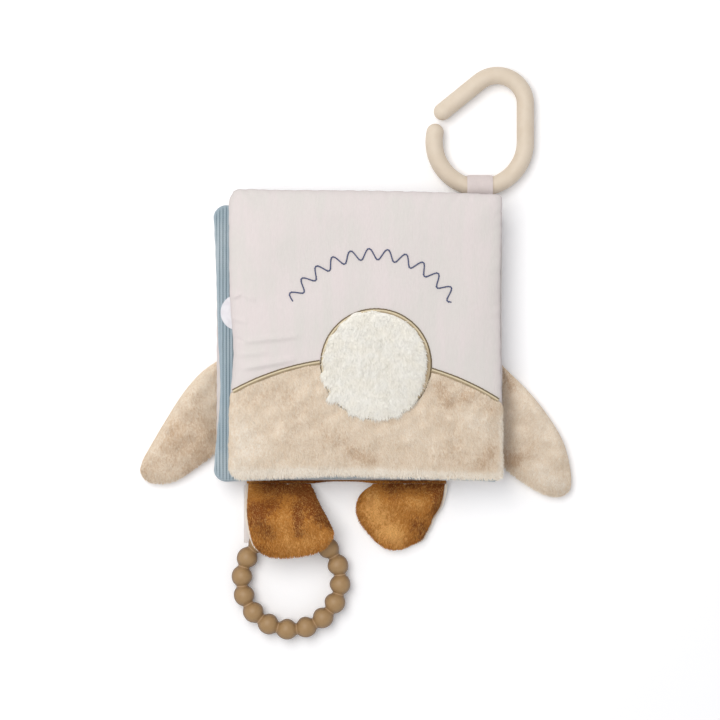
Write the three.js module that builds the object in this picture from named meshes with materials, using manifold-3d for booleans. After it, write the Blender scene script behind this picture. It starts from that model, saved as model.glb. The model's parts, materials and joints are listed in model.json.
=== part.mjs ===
// A crinkle cloth book for a baby: four padded leaves sewn to one spine, with stuffed
// wings and feet on the front cover, a beaded teether ring under the left foot and an
// open pram ring on a tab at the top. The book lies closed with its back cover up.
// Lengths are in millimetres. The spine's outer face is x = 0, the leaves reach to -x,
// y = 0 is the middle of the back cover's height and z = 0 is the floor.
import * as THREE from 'three';
import { mergeVertices } from 'three/addons/utils/BufferGeometryUtils.js';
import Module from 'manifold-3d';

const wasm = await Module();
wasm.setup();

// Clearances and fabrics
const gap = 0.3;
const faceFabric = 1.0;
const filmThickness = 0.4;
const spineCloth = 1.2;
const spineInset = spineCloth + gap;

// Air between one leaf and the next, wider where the satin tab lies
const pageGap = 0.4;
const tabPageGap = 1.6;

// Leaves, from the floor up: all are cut to the front cover's size but for small
// differences. Each has the middle of its height, and how far its faces stand from its seam.
const frontWidth = 152.0;
const frontHeight = 153.1;
const frontMiddle = -2.5;
const frontFall = 4.0;
const frontRise = 4.0;

const paleWider = 2.2;
const paleShorter = 6.1;
const paleMiddle = -4.5;
const paleFall = 3.1;
const paleRise = 3.1;
const paleWidth = frontWidth + paleWider;
const paleHeight = frontHeight - paleShorter;

const ribWider = 3.1;
const ribShorter = 2.6;
const ribMiddle = -4.8;
const ribFall = 3.2;
const ribRise = 3.2;
const ribWidth = frontWidth + ribWider;
const ribHeight = frontHeight - ribShorter;

const backNarrower = 4.0;
const backTaller = 2.9;
const backFall = 3.4;
const backRise = 5.4;
const backWidth = frontWidth - backNarrower;
const backHeight = frontHeight + backTaller;

// Corner rounding, and how far the sides are drawn in
const freeCorner = 7.0;
const spineCorner = 3.0;
const freeDraw = 1.6;
const spineDraw = 0.5;

// A leaf's outline has this many steps round a corner and along a side
const cornerSteps = 3;
const sideSteps = 4;

// Height of a padded face at shares of the way from its middle to its seam
const flatShares = [[0, 1], [0.6, 1], [0.9, 0.94], [0.955, 0.8], [0.985, 0.5], [1, 0]];
const floorShares = [[0, 1], [0.92, 1], [0.955, 0.78], [0.985, 0.45], [1, 0]];
const crownShares = [
  [0, 1], [0.2, 0.99], [0.45, 0.96], [0.7, 0.88], [0.85, 0.76],
  [0.92, 0.62], [0.965, 0.45], [0.988, 0.27], [1, 0],
];
const leafRimShare = 0.94;

// Spine strips: free length left at each end of the shortest leaf
const spineEndInset = 3.0;
const spineFoot = 1.5;

// Plush hill on the back cover: the circle of its upper edge
const hillRadius = 140.0;
const hillAcrossShare = 0.527;
const hillPeakShare = 0.0865;
const hillMiddleX = -hillAcrossShare * backWidth;
const hillPeakY = -hillPeakShare * backHeight;
const hillFacets = 96;

// Sherpa tail, its satin ring, and the satin stitch along the hill
const tailAcrossShare = 0.462;
const tailDownShare = 0.1026;
const tailX = -tailAcrossShare * backWidth;
const tailY = -tailDownShare * backHeight;
const tailRadius = 27.3;
const tailShares = [[1, 0.35], [0.94, 0.72], [0.75, 0.9], [0.4, 1]];
const tailPile = 3.4;
const tailSteps = 24;
const stitchWidth = 2.4;
const stitchThickness = 1.0;
const stitchEdgeMargin = 3.2;
const stitchSteps = 28;
const hillStitchSteps = 9;

// White satin tab on the rib leaf
const tabRadius = 9.8;
const tabThickness = 0.9;
const tabInset = 4.0;
const tabUpShare = 0.077;
const tabX = tabInset + tabRadius - ribWidth - spineInset;
const tabY = tabUpShare * backHeight;
const tabSteps = 20;

// Wings: reach from the seam, span along it, height of the seam's middle
const leftWingReach = 44.0;
const leftWingSpan = 68.0;
const rightWingReach = 39.2;
const rightWingSpan = 72.2;
const wingDownShare = 0.235;
const wingMiddle = frontMiddle - wingDownShare * frontHeight;
const wingRise = 6.2;
const leftWingShares = [
  [0, 0.376], [0.23, 0.278], [0.484, 0.09], [0.802, -0.24], [0.993, -0.47],
  [0.98, -0.573], [0.836, -0.63], [0.564, -0.613], [0.29, -0.5], [0, -0.37],
];
const rightWingShares = [
  [0, 0.312], [0.207, 0.215], [0.556, 0.008], [0.878, -0.265], [0.995, -0.526],
  [0.957, -0.659], [0.765, -0.698], [0.528, -0.66], [0.207, -0.554], [0, -0.47],
];

// Feet: length from the seam, width along it
const leftFootLength = 40.0;
const leftFootWidth = 48.0;
const leftFootAcrossShare = 0.759;
const leftFootX = -leftFootAcrossShare * frontWidth;
const leftFootSeam = 5.2;
const leftFootRise = 5.5;
const leftFootFall = 5.0;
const leftFootLift = 14.2;
const leftFootLiftLength = 20.0;
const rightFootLength = 36.0;
const rightFootWidth = 50.0;
const rightFootAcrossShare = 0.355;
const rightFootX = -rightFootAcrossShare * frontWidth;
const rightFootRise = 8.0;
const leftFootShares = [
  [0, -0.5], [0.39, -0.5], [0.82, -0.41], [0.976, -0.25], [1, 0],
  [0.92, 0.333], [0.73, 0.49], [0.58, 0.5], [0.28, 0.375], [0, 0.25],
];
const rightFootShares = [
  [0, -0.33], [0.1, -0.45], [0.35, -0.508], [0.59, -0.45], [0.906, -0.248],
  [1, -0.06], [0.91, 0.12], [0.6, 0.348], [0.295, 0.45], [0, 0.5],
];

// Stuffed limbs: swelling away from the seam, section shares and outline steps
const limbSwellLength = 12.0;
const limbSeamShare = 0.1;
const limbShares = [[0, 1], [0.45, 0.97], [0.74, 0.84], [0.88, 0.6], [0.96, 0.34], [1, 0]];
const limbFloorShares = [[0, 1], [0.45, 1], [0.74, 1], [0.88, 0.74], [0.96, 0.4], [1, 0]];
const limbRimShare = 0.82;
const limbSteps = 20;
const limbSeamSteps = 4;

// Rust plush band along the bottom edge, between the feet
const bandDepth = 2.9;
const bandBottom = 1.0;
const bandTop = 7.0;
const bandRounding = 1.2;
const bandLeft = leftFootX - leftFootWidth / 2;
const bandRight = rightFootX + rightFootWidth / 2;

// Beaded teether ring, a little aside of the foot's middle
const ringAside = 0.6;
const ringX = leftFootX + ringAside;
const ringRadius = 26.9;
const beadCount = 16;
const beadRadius = 5.7;
const neckRadius = 3.3;
const beadShares = [-0.44, -0.27, 0, 0.27, 0.44];
const beadSides = 8;

// Teether strap: a band sewn at the bottom seam that runs round the ring
const strapWidth = 10.0;
const strapWall = 0.7;
const strapSeam = 2.1;
const strapNeck = 8.0;
const strapToRing = 24.9;
const loopClearance = 0.35;
const loopArcShare = 0.7;
const tabArcShare = 0.83;
const loopSteps = 16;

// Blank care label beside the strap, reaching a little past the feet band's end
const labelLength = 31.6;
const labelThickness = 0.4;
const labelBottom = 0.1;
const labelDrop = 8.0;
const labelAside = 1.2;
const labelPast = 1.6;
const labelRight = ringX - strapWidth / 2 - labelAside;
const labelLeft = bandLeft - labelPast;

// Pram ring: an open ring of two arcs joined by straights
const clipTube = 4.75;
const clipAcrossShare = 0.075;
const clipX = -clipAcrossShare * frontWidth;
const clipLowerRadius = 25.0;
const clipUpperRadius = 15.5;
const clipLeg = 20.8;
const clipTail = 26.0;
const clipLowerStart = THREE.MathUtils.degToRad(168);
const clipUpperSweep = THREE.MathUtils.degToRad(129);
const clipLowerSteps = 16;
const clipUpperSteps = 12;
const clipSides = 10;
const roundEndShares = [[0.5, 0.866], [0.866, 0.5]];

// Tab that holds the pram ring at the top seam
const clipTabWidth = 14.0;
const clipTabWall = 0.7;
const clipTabClearance = 0.6;
const clipToSeam = 6.1;

// Colours
const cottonColour = 0xe2dad8;
const plushColour = 0xd6c4ac;
const rustColour = 0x965f28;
const ribColour = 0x96a8b2;
const sherpaColour = 0xeceae4;
const stitchColour = 0xc8af82;
const satinColour = 0xeeecf0;
const siliconeColour = 0x967855;
const clipColour = 0xdecdb4;
const labelColour = 0xdcd7d2;
const filmColour = 0xd8dde0;
const waddingColour = 0xf4f2ee;

const book = new THREE.Group();

// Adds one named piece with its own finish
function addPiece(name, geometry, colour, roughness = 0.95) {
  const material = new THREE.MeshStandardMaterial({ color: colour, roughness, metalness: 0 });
  const mesh = new THREE.Mesh(geometry, material);
  mesh.name = name;
  book.add(mesh);
}

// Signed volume of an indexed mesh, positive when its faces point out
function signedVolume(positions, index) {
  const [a, b, c] = [new THREE.Vector3(), new THREE.Vector3(), new THREE.Vector3()];
  let volume = 0;
  for (let i = 0; i < index.length; i += 3) {
    a.fromArray(positions, 3 * index[i]);
    b.fromArray(positions, 3 * index[i + 1]);
    c.fromArray(positions, 3 * index[i + 2]);
    volume += a.dot(b.cross(c)) / 6;
  }
  return volume;
}

// A closed surface through rings of points; a ring of one point closes an end. Each square
// is split along its shorter diagonal, so that two surfaces side by side fold alike.
function skin(rings, looped = false) {
  const points = rings.flat();
  const positions = points.flatMap((p) => p.toArray());
  const starts = [];
  rings.reduce((start, ring) => (starts.push(start), start + ring.length), 0);
  const index = [];
  const pairs = looped ? rings.length : rings.length - 1;
  for (let i = 0; i < pairs; i += 1) {
    const next = (i + 1) % rings.length;
    const [from, to] = [rings[i], rings[next]];
    const count = Math.max(from.length, to.length);
    for (let j = 0; j < count; j += 1) {
      const k = (j + 1) % count;
      const spot = (ring, start, n) => start + (ring.length > 1 ? n : 0);
      const [a, b] = [spot(from, starts[i], j), spot(from, starts[i], k)];
      const [c, d] = [spot(to, starts[next], j), spot(to, starts[next], k)];
      const across = points[b].distanceTo(points[c]) < points[a].distanceTo(points[d]);
      if (a === b) index.push(a, d, c);
      else if (c === d) index.push(a, b, c);
      else if (across) index.push(a, b, c, b, d, c);
      else index.push(a, b, d, a, d, c);
    }
  }
  if (signedVolume(positions, index) < 0) index.reverse();
  const geometry = new THREE.BufferGeometry();
  geometry.setAttribute('position', new THREE.Float32BufferAttribute(positions, 3));
  geometry.setIndex(index);
  return geometry;
}

// Solids for cutting
function toSolid(geometry) {
  const bare = geometry.clone();
  for (const name of ['normal', 'uv']) bare.deleteAttribute(name);
  const merged = mergeVertices(bare);
  const mesh = new wasm.Mesh({
    numProp: 3,
    vertProperties: new Float32Array(merged.attributes.position.array),
    triVerts: new Uint32Array(merged.index.array),
  });
  return new wasm.Manifold(mesh);
}

function toGeometry(solid) {
  const mesh = solid.getMesh();
  const geometry = new THREE.BufferGeometry();
  geometry.setAttribute('position', new THREE.BufferAttribute(mesh.vertProperties, 3));
  geometry.setIndex(new THREE.BufferAttribute(mesh.triVerts, 1));
  return geometry;
}

// A leaf's outline: rounded corners, and sides drawn in between them
function leafOutline(width, height, right, middle) {
  const corners = [
    [1, 1, spineCorner, freeDraw],
    [-1, 1, freeCorner, freeDraw],
    [-1, -1, freeCorner, freeDraw],
    [1, -1, spineCorner, spineDraw],
  ];
  const centre = new THREE.Vector2(right - width / 2, middle);
  const half = new THREE.Vector2(width / 2, height / 2);
  const arcs = corners.map(([sx, sy, radius], n) => {
    const hub = new THREE.Vector2(sx, sy).multiply(half.clone().subScalar(radius));
    return Array.from({ length: cornerSteps + 1 }, (_, i) => {
      const angle = (n + i / cornerSteps) * (Math.PI / 2);
      return new THREE.Vector2(Math.cos(angle), Math.sin(angle)).multiplyScalar(radius).add(hub);
    });
  });
  const outline = [];
  arcs.forEach((arc, n) => {
    const [from, to] = [arc[cornerSteps], arcs[(n + 1) % arcs.length][0]];
    const inward = new THREE.Vector2(from.y - to.y, to.x - from.x).normalize();
    outline.push(...arc);
    for (let i = 1; i < sideSteps; i += 1) {
      const along = i / sideSteps;
      const draw = corners[n][3] * 4 * along * (1 - along);
      outline.push(from.clone().lerp(to, along).addScaledVector(inward, draw));
    }
  });
  return { centre, outline: outline.map((p) => p.add(centre)) };
}

// One ring of a pad: its outline drawn to a share of its size, at a height from the seam
function padRing(pad, share, height) {
  const place = (p) => p.clone().sub(pad.centre).multiplyScalar(share).add(pad.centre);
  const spots = share === 0 ? [pad.centre] : pad.outline.map(place);
  return spots.map((p) => new THREE.Vector3(p.x, p.y, pad.seam + pad.lift(p) + height(p)));
}

// Distance of a face's outer side from the seam, where its section has the given share
function faceReach(pad, side, part) {
  const reach = side > 0 ? pad.rise : pad.fall;
  return (p) => gap / 2 + (reach - gap / 2) * part * pad.taper(p);
}

// The rows of a face's section that lie inside its sewn rim
function innerRows(pad, side) {
  const rows = side > 0 ? pad.riseShares : pad.fallShares;
  return rows.filter(([share]) => share < pad.rimShare);
}

// One fabric face of a pad: a dish with a turned-in rim at the seam
function padFace(pad, side) {
  const rows = side > 0 ? pad.riseShares : pad.fallShares;
  const outer = rows.map(([share, part]) => {
    const reach = faceReach(pad, side, part);
    return padRing(pad, share, (p) => side * reach(p));
  });
  const rim = padRing(pad, pad.rimShare, () => (side * gap) / 2);
  const inner = innerRows(pad, side).map(([share, part]) => {
    const reach = faceReach(pad, side, part);
    return padRing(pad, share, (p) => side * (reach(p) - faceFabric));
  });
  return skin([...outer, rim, ...inner.reverse()]);
}

// Rings that keep a distance inside one face
function liningRings(pad, side, inset) {
  return innerRows(pad, side).map(([share, part]) => {
    const reach = faceReach(pad, side, part);
    return padRing(pad, share, (p) => side * (reach(p) - faceFabric - inset));
  });
}

// Crinkle film that lies on the lower face, and the filling over it
function padFilm(pad) {
  const under = liningRings(pad, -1, gap);
  const over = liningRings(pad, -1, gap + filmThickness);
  return skin([...under, ...over.reverse()]);
}

function padFilling(pad, underlay) {
  const under = liningRings(pad, -1, gap + underlay);
  const over = liningRings(pad, 1, gap);
  return skin([...under, ...over.reverse()]);
}

// Share of the way from a pad's centre to its outline at a place
function shareAt(pad, x, y) {
  const spot = new THREE.Vector2(x, y).sub(pad.centre);
  const around = pad.outline.map((p) => p.clone().sub(pad.centre));
  const crossing = around.findIndex((from, i) => {
    const to = around[(i + 1) % around.length];
    return from.cross(spot) >= 0 && spot.cross(to) > 0 && from.cross(to) > 0;
  });
  if (crossing < 0) return 0;
  const from = around[crossing];
  const edge = around[(crossing + 1) % around.length].clone().sub(from);
  return spot.cross(edge) / from.cross(edge);
}

// Height of a pad's upper face at a place
function topAt(pad, x, y) {
  const share = shareAt(pad, x, y);
  const rows = pad.riseShares;
  const next = Math.max(1, rows.findIndex(([limit]) => limit >= share));
  const [[a, from], [b, to]] = [rows[next - 1], rows[next]];
  const part = from + ((to - from) * (share - a)) / (b - a);
  return pad.seam + gap / 2 + (pad.rise - gap / 2) * part;
}

// Lays flat rings on a pad's upper face, a clearance above it
function drapeRings(pad, rings) {
  return rings.map((ring) =>
    ring.map((p) => new THREE.Vector3(p.x, p.y, p.z + gap + topAt(pad, p.x, p.y))));
}

// The four leaves
const level = () => 0;
const full = () => 1;

function leaf(width, height, right, middle, seam, fall, rise, fallShares, riseShares) {
  const shape = leafOutline(width, height, right, middle);
  const rimShare = leafRimShare;
  return { ...shape, seam, fall, rise, fallShares, riseShares, rimShare, lift: level, taper: full };
}

const frontSeam = frontFall;
const paleSeam = frontSeam + frontRise + pageGap + paleFall;
const ribSeam = paleSeam + paleRise + pageGap + ribFall;
const backSeam = ribSeam + ribRise + tabPageGap + backFall;

const frontLeaf = leaf(frontWidth, frontHeight, -spineInset, frontMiddle,
  frontSeam, frontFall, frontRise, floorShares, flatShares);
const paleLeaf = leaf(paleWidth, paleHeight, -spineInset, paleMiddle,
  paleSeam, paleFall, paleRise, flatShares, flatShares);
const ribLeaf = leaf(ribWidth, ribHeight, -spineInset, ribMiddle,
  ribSeam, ribFall, ribRise, flatShares, flatShares);
const backLeaf = leaf(backWidth, backHeight, 0, 0,
  backSeam, backFall, backRise, flatShares, crownShares);

addPiece('front_cover_outer_face', padFace(frontLeaf, -1), plushColour);
addPiece('front_cover_inner_face', padFace(frontLeaf, 1), cottonColour);
addPiece('pale_leaf_lower_face', padFace(paleLeaf, -1), cottonColour);
addPiece('pale_leaf_upper_face', padFace(paleLeaf, 1), cottonColour);
addPiece('rib_leaf_lower_face', padFace(ribLeaf, -1), ribColour);
addPiece('rib_leaf_upper_face', padFace(ribLeaf, 1), ribColour);
addPiece('back_cover_inner_face', padFace(backLeaf, -1), cottonColour);

const leaves = { front_cover: frontLeaf, pale_leaf: paleLeaf, rib_leaf: ribLeaf, back_cover: backLeaf };
for (const [name, pad] of Object.entries(leaves)) {
  addPiece(`${name}_crinkle_film`, padFilm(pad), filmColour, 0.3);
  addPiece(`${name}_wadding`, padFilling(pad, filmThickness + gap), waddingColour);
}

// The back cover's outer face, cut along the hill into cotton above and plush below
const hillMiddleY = hillPeakY - hillRadius;

function hillCutter(radius) {
  const depth = 4 * (backRise + backFall);
  const cylinder = new THREE.CylinderGeometry(radius, radius, depth, hillFacets);
  cylinder.rotateX(Math.PI / 2);
  cylinder.translate(hillMiddleX, hillMiddleY, backSeam);
  return toSolid(cylinder);
}

const backFace = toSolid(padFace(backLeaf, 1));
const cottonPanel = backFace.subtract(hillCutter(hillRadius + gap / 2));
const plushHill = backFace.intersect(hillCutter(hillRadius - gap / 2));
addPiece('back_cover_cotton_panel', toGeometry(cottonPanel), cottonColour);
addPiece('back_cover_plush_hill', toGeometry(plushHill), plushColour);

// Spine cloth between each leaf and the next
function spineStrip(from, to) {
  const bottom = Math.max(paleMiddle - paleHeight / 2, ribMiddle - ribHeight / 2) + spineEndInset;
  const top = Math.min(paleMiddle + paleHeight / 2, ribMiddle + ribHeight / 2) - spineEndInset;
  const strip = new THREE.BoxGeometry(spineCloth, top - bottom, to - from);
  return strip.translate(-spineCloth / 2, (top + bottom) / 2, (to + from) / 2);
}

addPiece('spine_strip_lower', spineStrip(frontSeam - spineFoot, paleSeam - gap), cottonColour);
addPiece('spine_strip_middle', spineStrip(paleSeam + gap, ribSeam - gap), cottonColour);
addPiece('spine_strip_upper', spineStrip(ribSeam + gap, backSeam - backFall / 2 - 2 * gap), cottonColour);

// A circle of points at a height, and the disc built from such circles
function circle(x, y, radius, z, steps) {
  return Array.from({ length: steps }, (_, i) => {
    const angle = (2 * Math.PI * i) / steps;
    return new THREE.Vector3(x + radius * Math.cos(angle), y + radius * Math.sin(angle), z);
  });
}

const tailRings = [
  [new THREE.Vector3(tailX, tailY, 0)],
  circle(tailX, tailY, tailRadius / 2, 0, tailSteps),
  circle(tailX, tailY, tailRadius, 0, tailSteps),
  ...tailShares.map(([share, part]) =>
    circle(tailX, tailY, share * tailRadius, part * tailPile, tailSteps)),
  [new THREE.Vector3(tailX, tailY, tailPile)],
];
addPiece('tail_sherpa_disc', skin(drapeRings(backLeaf, tailRings)), sherpaColour);

// Section of a satin stitch: shares of its width and of its thickness
const stitchSectionShares = [[0, 0], [0, 0.6], [0.5, 1], [1, 0.6], [1, 0]];

function stitchRing(hubX, hubY, innerRadius, angle) {
  const [c, s] = [Math.cos(angle), Math.sin(angle)];
  return stitchSectionShares.map(([across, up]) => {
    const radius = innerRadius + across * stitchWidth;
    return new THREE.Vector3(hubX + radius * c, hubY + radius * s, up * stitchThickness);
  });
}

const satinInner = tailRadius + gap;
const satinRings = Array.from({ length: stitchSteps }, (_, i) =>
  stitchRing(tailX, tailY, satinInner, (2 * Math.PI * i) / stitchSteps));
addPiece('tail_satin_stitch', skin(drapeRings(backLeaf, satinRings), true), stitchColour, 0.6);

// The stitch along the hill, from the tail's ring out to each side
const tailClear = satinInner + stitchWidth + 2 * gap;
const hubDistance = Math.hypot(tailX - hillMiddleX, tailY - hillMiddleY);
const tailAngle = Math.atan2(tailY - hillMiddleY, tailX - hillMiddleX);
const tailHalfAngle = Math.acos(
  (hillRadius ** 2 + hubDistance ** 2 - tailClear ** 2) / (2 * hillRadius * hubDistance));

function hillStitch(fromAngle, edgeX) {
  const toAngle = Math.acos((edgeX - hillMiddleX) / hillRadius);
  const rings = Array.from({ length: hillStitchSteps + 1 }, (_, i) => {
    const angle = fromAngle + ((toAngle - fromAngle) * i) / hillStitchSteps;
    return stitchRing(hillMiddleX, hillMiddleY, hillRadius - stitchWidth / 2, angle);
  });
  const middle = (ring) => {
    const sum = ring.reduce((total, p) => total.add(p), new THREE.Vector3());
    return [sum.divideScalar(ring.length)];
  };
  return skin(drapeRings(backLeaf, [middle(rings[0]), ...rings, middle(rings[hillStitchSteps])]));
}

const stitchLeftX = -backWidth + stitchEdgeMargin;
const stitchRightX = -stitchEdgeMargin;
addPiece('hill_stitch_left', hillStitch(tailAngle + tailHalfAngle, stitchLeftX), stitchColour, 0.6);
addPiece('hill_stitch_right', hillStitch(tailAngle - tailHalfAngle, stitchRightX), stitchColour, 0.6);

// Satin tab that peeks out between the back cover and the rib leaf
const tabRings = [
  [new THREE.Vector3(tabX, tabY, 0)],
  circle(tabX, tabY, tabRadius / 2, 0, tabSteps),
  circle(tabX, tabY, tabRadius, 0, tabSteps),
  circle(tabX, tabY, tabRadius, tabThickness, tabSteps),
  circle(tabX, tabY, tabRadius / 2, tabThickness, tabSteps),
  [new THREE.Vector3(tabX, tabY, tabThickness)],
];
addPiece('white_satin_tab', skin(drapeRings(ribLeaf, tabRings)), satinColour, 0.5);

// A stuffed limb: an outline in shares of its reach and span, thin at its seam
function limb({ shares, reach, span, place, seam, rise, fall, fallShares, lift = level }) {
  const spots = shares.map(([out, along]) => new THREE.Vector2(out * reach, along * span));
  const local = new THREE.SplineCurve(spots).getSpacedPoints(limbSteps);
  const [first, last] = [local[0], local[limbSteps]];
  for (let i = 1; i < limbSeamSteps; i += 1) local.push(last.clone().lerp(first, i / limbSeamSteps));
  for (const p of local) p.x = Math.max(0, p.x);
  const outline = local.map(place);
  const sum = outline.reduce((total, p) => total.add(p), new THREE.Vector2());
  const centre = sum.divideScalar(outline.length);
  const origin = place(new THREE.Vector2());
  const outward = place(new THREE.Vector2(1, 0)).sub(origin);
  const distance = (p) => p.clone().sub(origin).dot(outward);
  const taper = (p) => {
    const along = Math.min(1, distance(p) / limbSwellLength);
    return limbSeamShare + (1 - limbSeamShare) * Math.sin((along * Math.PI) / 2);
  };
  return {
    outline, centre, seam, rise, fall, taper, fallShares,
    riseShares: limbShares,
    rimShare: limbRimShare,
    lift: (p) => lift(distance(p)),
  };
}

function addLimb(name, pad, colour, liningColour) {
  addPiece(`${name}_plush`, padFace(pad, 1), colour);
  addPiece(`${name}_lining`, padFace(pad, -1), liningColour);
  addPiece(`${name}_stuffing`, padFilling(pad, 0), waddingColour);
}

const leftWingSeamX = -spineInset - frontWidth - gap;
addLimb('left_wing', limb({
  shares: leftWingShares,
  reach: leftWingReach,
  span: leftWingSpan,
  place: (p) => new THREE.Vector2(leftWingSeamX - p.x, wingMiddle + p.y),
  seam: frontSeam,
  rise: wingRise,
  fall: frontFall,
  fallShares: limbFloorShares,
}), plushColour, plushColour);
addLimb('right_wing', limb({
  shares: rightWingShares,
  reach: rightWingReach,
  span: rightWingSpan,
  place: (p) => new THREE.Vector2(gap + p.x, wingMiddle + p.y),
  seam: frontSeam,
  rise: wingRise,
  fall: frontFall,
  fallShares: limbFloorShares,
}), plushColour, plushColour);

const frontBottom = frontMiddle - frontHeight / 2;
const frontTop = frontMiddle + frontHeight / 2;
const footSeamY = frontBottom - gap - bandDepth - gap;
addLimb('left_foot', limb({
  shares: leftFootShares,
  reach: leftFootLength,
  span: leftFootWidth,
  place: (p) => new THREE.Vector2(leftFootX + p.y, footSeamY - p.x),
  seam: leftFootSeam,
  rise: leftFootRise,
  fall: leftFootFall,
  fallShares: limbShares,
  lift: (out) => leftFootLift * THREE.MathUtils.smoothstep(out, 0, leftFootLiftLength),
}), rustColour, cottonColour);
addLimb('right_foot', limb({
  shares: rightFootShares,
  reach: rightFootLength,
  span: rightFootWidth,
  place: (p) => new THREE.Vector2(rightFootX + p.y, footSeamY - p.x),
  seam: frontSeam,
  rise: rightFootRise,
  fall: frontFall,
  fallShares: limbFloorShares,
}), rustColour, cottonColour);

// An upright section in y and z, given as a shape, made into a band along x
function bandAlongX(shape, width, x) {
  const band = new THREE.ExtrudeGeometry(shape, { depth: width, bevelEnabled: false, curveSegments: 3 });
  band.rotateY(Math.PI / 2);
  band.rotateX(Math.PI / 2);
  return band.translate(x - width / 2, 0, 0);
}

function roundedShape(y, z, depth, height, radius) {
  const shape = new THREE.Shape();
  const hubs = [[1, 1], [-1, 1], [-1, -1], [1, -1]];
  hubs.forEach(([sy, sz], n) => {
    const [cy, cz] = [y + sy * (depth / 2 - radius), z + sz * (height / 2 - radius)];
    shape.absarc(cy, cz, radius, (n * Math.PI) / 2, ((n + 1) * Math.PI) / 2);
  });
  return shape;
}

addPiece('feet_band', bandAlongX(
  roundedShape(frontBottom - gap - bandDepth / 2, (bandTop + bandBottom) / 2,
    bandDepth, bandTop - bandBottom, bandRounding),
  bandRight - bandLeft, (bandRight + bandLeft) / 2), rustColour);

// Points of an upright ellipse from one side of its open end round to the other
function loopArc(out, z, halfLength, halfHeight, arcShare) {
  return Array.from({ length: loopSteps + 1 }, (_, i) => {
    const angle = arcShare * Math.PI * ((2 * i) / loopSteps - 1);
    return [out + halfLength * Math.cos(angle), z + halfHeight * Math.sin(angle)];
  });
}

// A cloth loop sewn at a seam and running round a tube that curves away from it
function clothLoop({ seamY, facing, seamZ, neck, wall, width, x, tubeOut, tubeZ, tube, bend, arcShare }) {
  const sag = bend - Math.sqrt(bend ** 2 - (width / 2) ** 2);
  const out = tubeOut + sag / 2;
  const halfLength = tube + loopClearance + sag / 2;
  const halfHeight = tube + loopClearance;
  const place = ([u, z]) => new THREE.Vector2(seamY + facing * u, z);
  const contour = (points) => (facing > 0 ? points : points.reverse()).map(place);
  const outer = loopArc(out, tubeZ, halfLength + wall, halfHeight + wall, arcShare);
  const root = [[neck, seamZ + wall], [0, seamZ + wall], [0, seamZ - wall], [neck, seamZ - wall]];
  const inner = loopArc(out, tubeZ, halfLength, halfHeight, arcShare);
  const meetOut = Math.min(neck + 2 * wall, out - halfLength);
  const meet = [meetOut, seamZ + (tubeZ - seamZ) * (neck > 0 ? 0 : 1)];
  const shape = new THREE.Shape(contour([...outer, ...root]));
  shape.holes.push(new THREE.Path(contour([...inner, meet])));
  return bandAlongX(shape, width, x);
}

// Teether: strap, beaded ring and blank label
const ringZ = beadRadius + loopClearance + strapWall;
const ringY = footSeamY - strapToRing - ringRadius;
addPiece('teether_strap', clothLoop({
  seamY: footSeamY,
  facing: -1,
  seamZ: strapSeam,
  neck: strapNeck,
  wall: strapWall,
  width: strapWidth,
  x: ringX,
  tubeOut: strapToRing,
  tubeZ: ringZ,
  tube: beadRadius,
  bend: ringRadius,
  arcShare: loopArcShare,
}), cottonColour);

// A circle of points round a level path at one place
function tubeRing(x, y, angle, z, radius, sides) {
  return Array.from({ length: sides }, (_, i) => {
    const turn = (2 * Math.PI * i) / sides;
    const across = radius * Math.cos(turn);
    return new THREE.Vector3(
      x - across * Math.sin(angle), y + across * Math.cos(angle), z + radius * Math.sin(turn));
  });
}

const beadPitch = (2 * Math.PI * ringRadius) / beadCount;
const beadRings = Array.from({ length: beadCount }, (_, bead) =>
  beadShares.map((share) => {
    const angle = Math.PI / 2 + ((bead + share) * 2 * Math.PI) / beadCount;
    const along = share * beadPitch;
    const radius = Math.sqrt(Math.max(neckRadius ** 2, beadRadius ** 2 - along ** 2));
    const [x, y] = [ringX + ringRadius * Math.cos(angle), ringY + ringRadius * Math.sin(angle)];
    return tubeRing(x, y, angle + Math.PI / 2, ringZ, radius, beadSides);
  })).flat();
addPiece('teether_ring', skin(beadRings, true), siliconeColour, 0.6);

// The label leaves the seam beside the strap, drops to the floor and lies there
const labelPath = [[0, strapSeam], [labelDrop, labelBottom], [labelLength, labelBottom]];
const labelOver = labelPath.map(([out, z]) => [out, z + labelThickness]);
const labelShape = new THREE.Shape(
  [...labelPath.reverse(), ...labelOver].map(([out, z]) => new THREE.Vector2(footSeamY - out, z)));
addPiece('blank_care_label',
  bandAlongX(labelShape, labelRight - labelLeft, (labelRight + labelLeft) / 2), labelColour);

// Pram ring: lower arc, leg, upper arc and tail, with round ends
const clipZ = clipTube + loopClearance + clipTabWall;
const clipSeamY = frontTop + clipTabClearance;
const clipY = clipSeamY + clipToSeam + clipLowerRadius;
const clipPath = [];
for (let i = 0; i <= clipLowerSteps; i += 1) {
  const angle = clipLowerStart + ((2 * Math.PI - clipLowerStart) * i) / clipLowerSteps;
  clipPath.push([clipX + clipLowerRadius * Math.cos(angle),
    clipY + clipLowerRadius * Math.sin(angle), angle + Math.PI / 2]);
}
const clipUpperX = clipX + clipLowerRadius - clipUpperRadius;
for (let i = 0; i <= clipUpperSteps; i += 1) {
  const angle = (clipUpperSweep * i) / clipUpperSteps;
  clipPath.push([clipUpperX + clipUpperRadius * Math.cos(angle),
    clipY + clipLeg + clipUpperRadius * Math.sin(angle), angle + Math.PI / 2]);
}
const [clipEndX, clipEndY, clipEndAngle] = clipPath[clipPath.length - 1];
clipPath.push([clipEndX + clipTail * Math.cos(clipEndAngle),
  clipEndY + clipTail * Math.sin(clipEndAngle), clipEndAngle]);

function roundEnd([x, y, angle], direction) {
  const at = (share) => [x + direction * share * clipTube * Math.cos(angle),
    y + direction * share * clipTube * Math.sin(angle)];
  const rings = roundEndShares.map(([along, size]) =>
    tubeRing(...at(along), angle, clipZ, size * clipTube, clipSides));
  return [...rings, [new THREE.Vector3(...at(1), clipZ)]];
}

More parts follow.
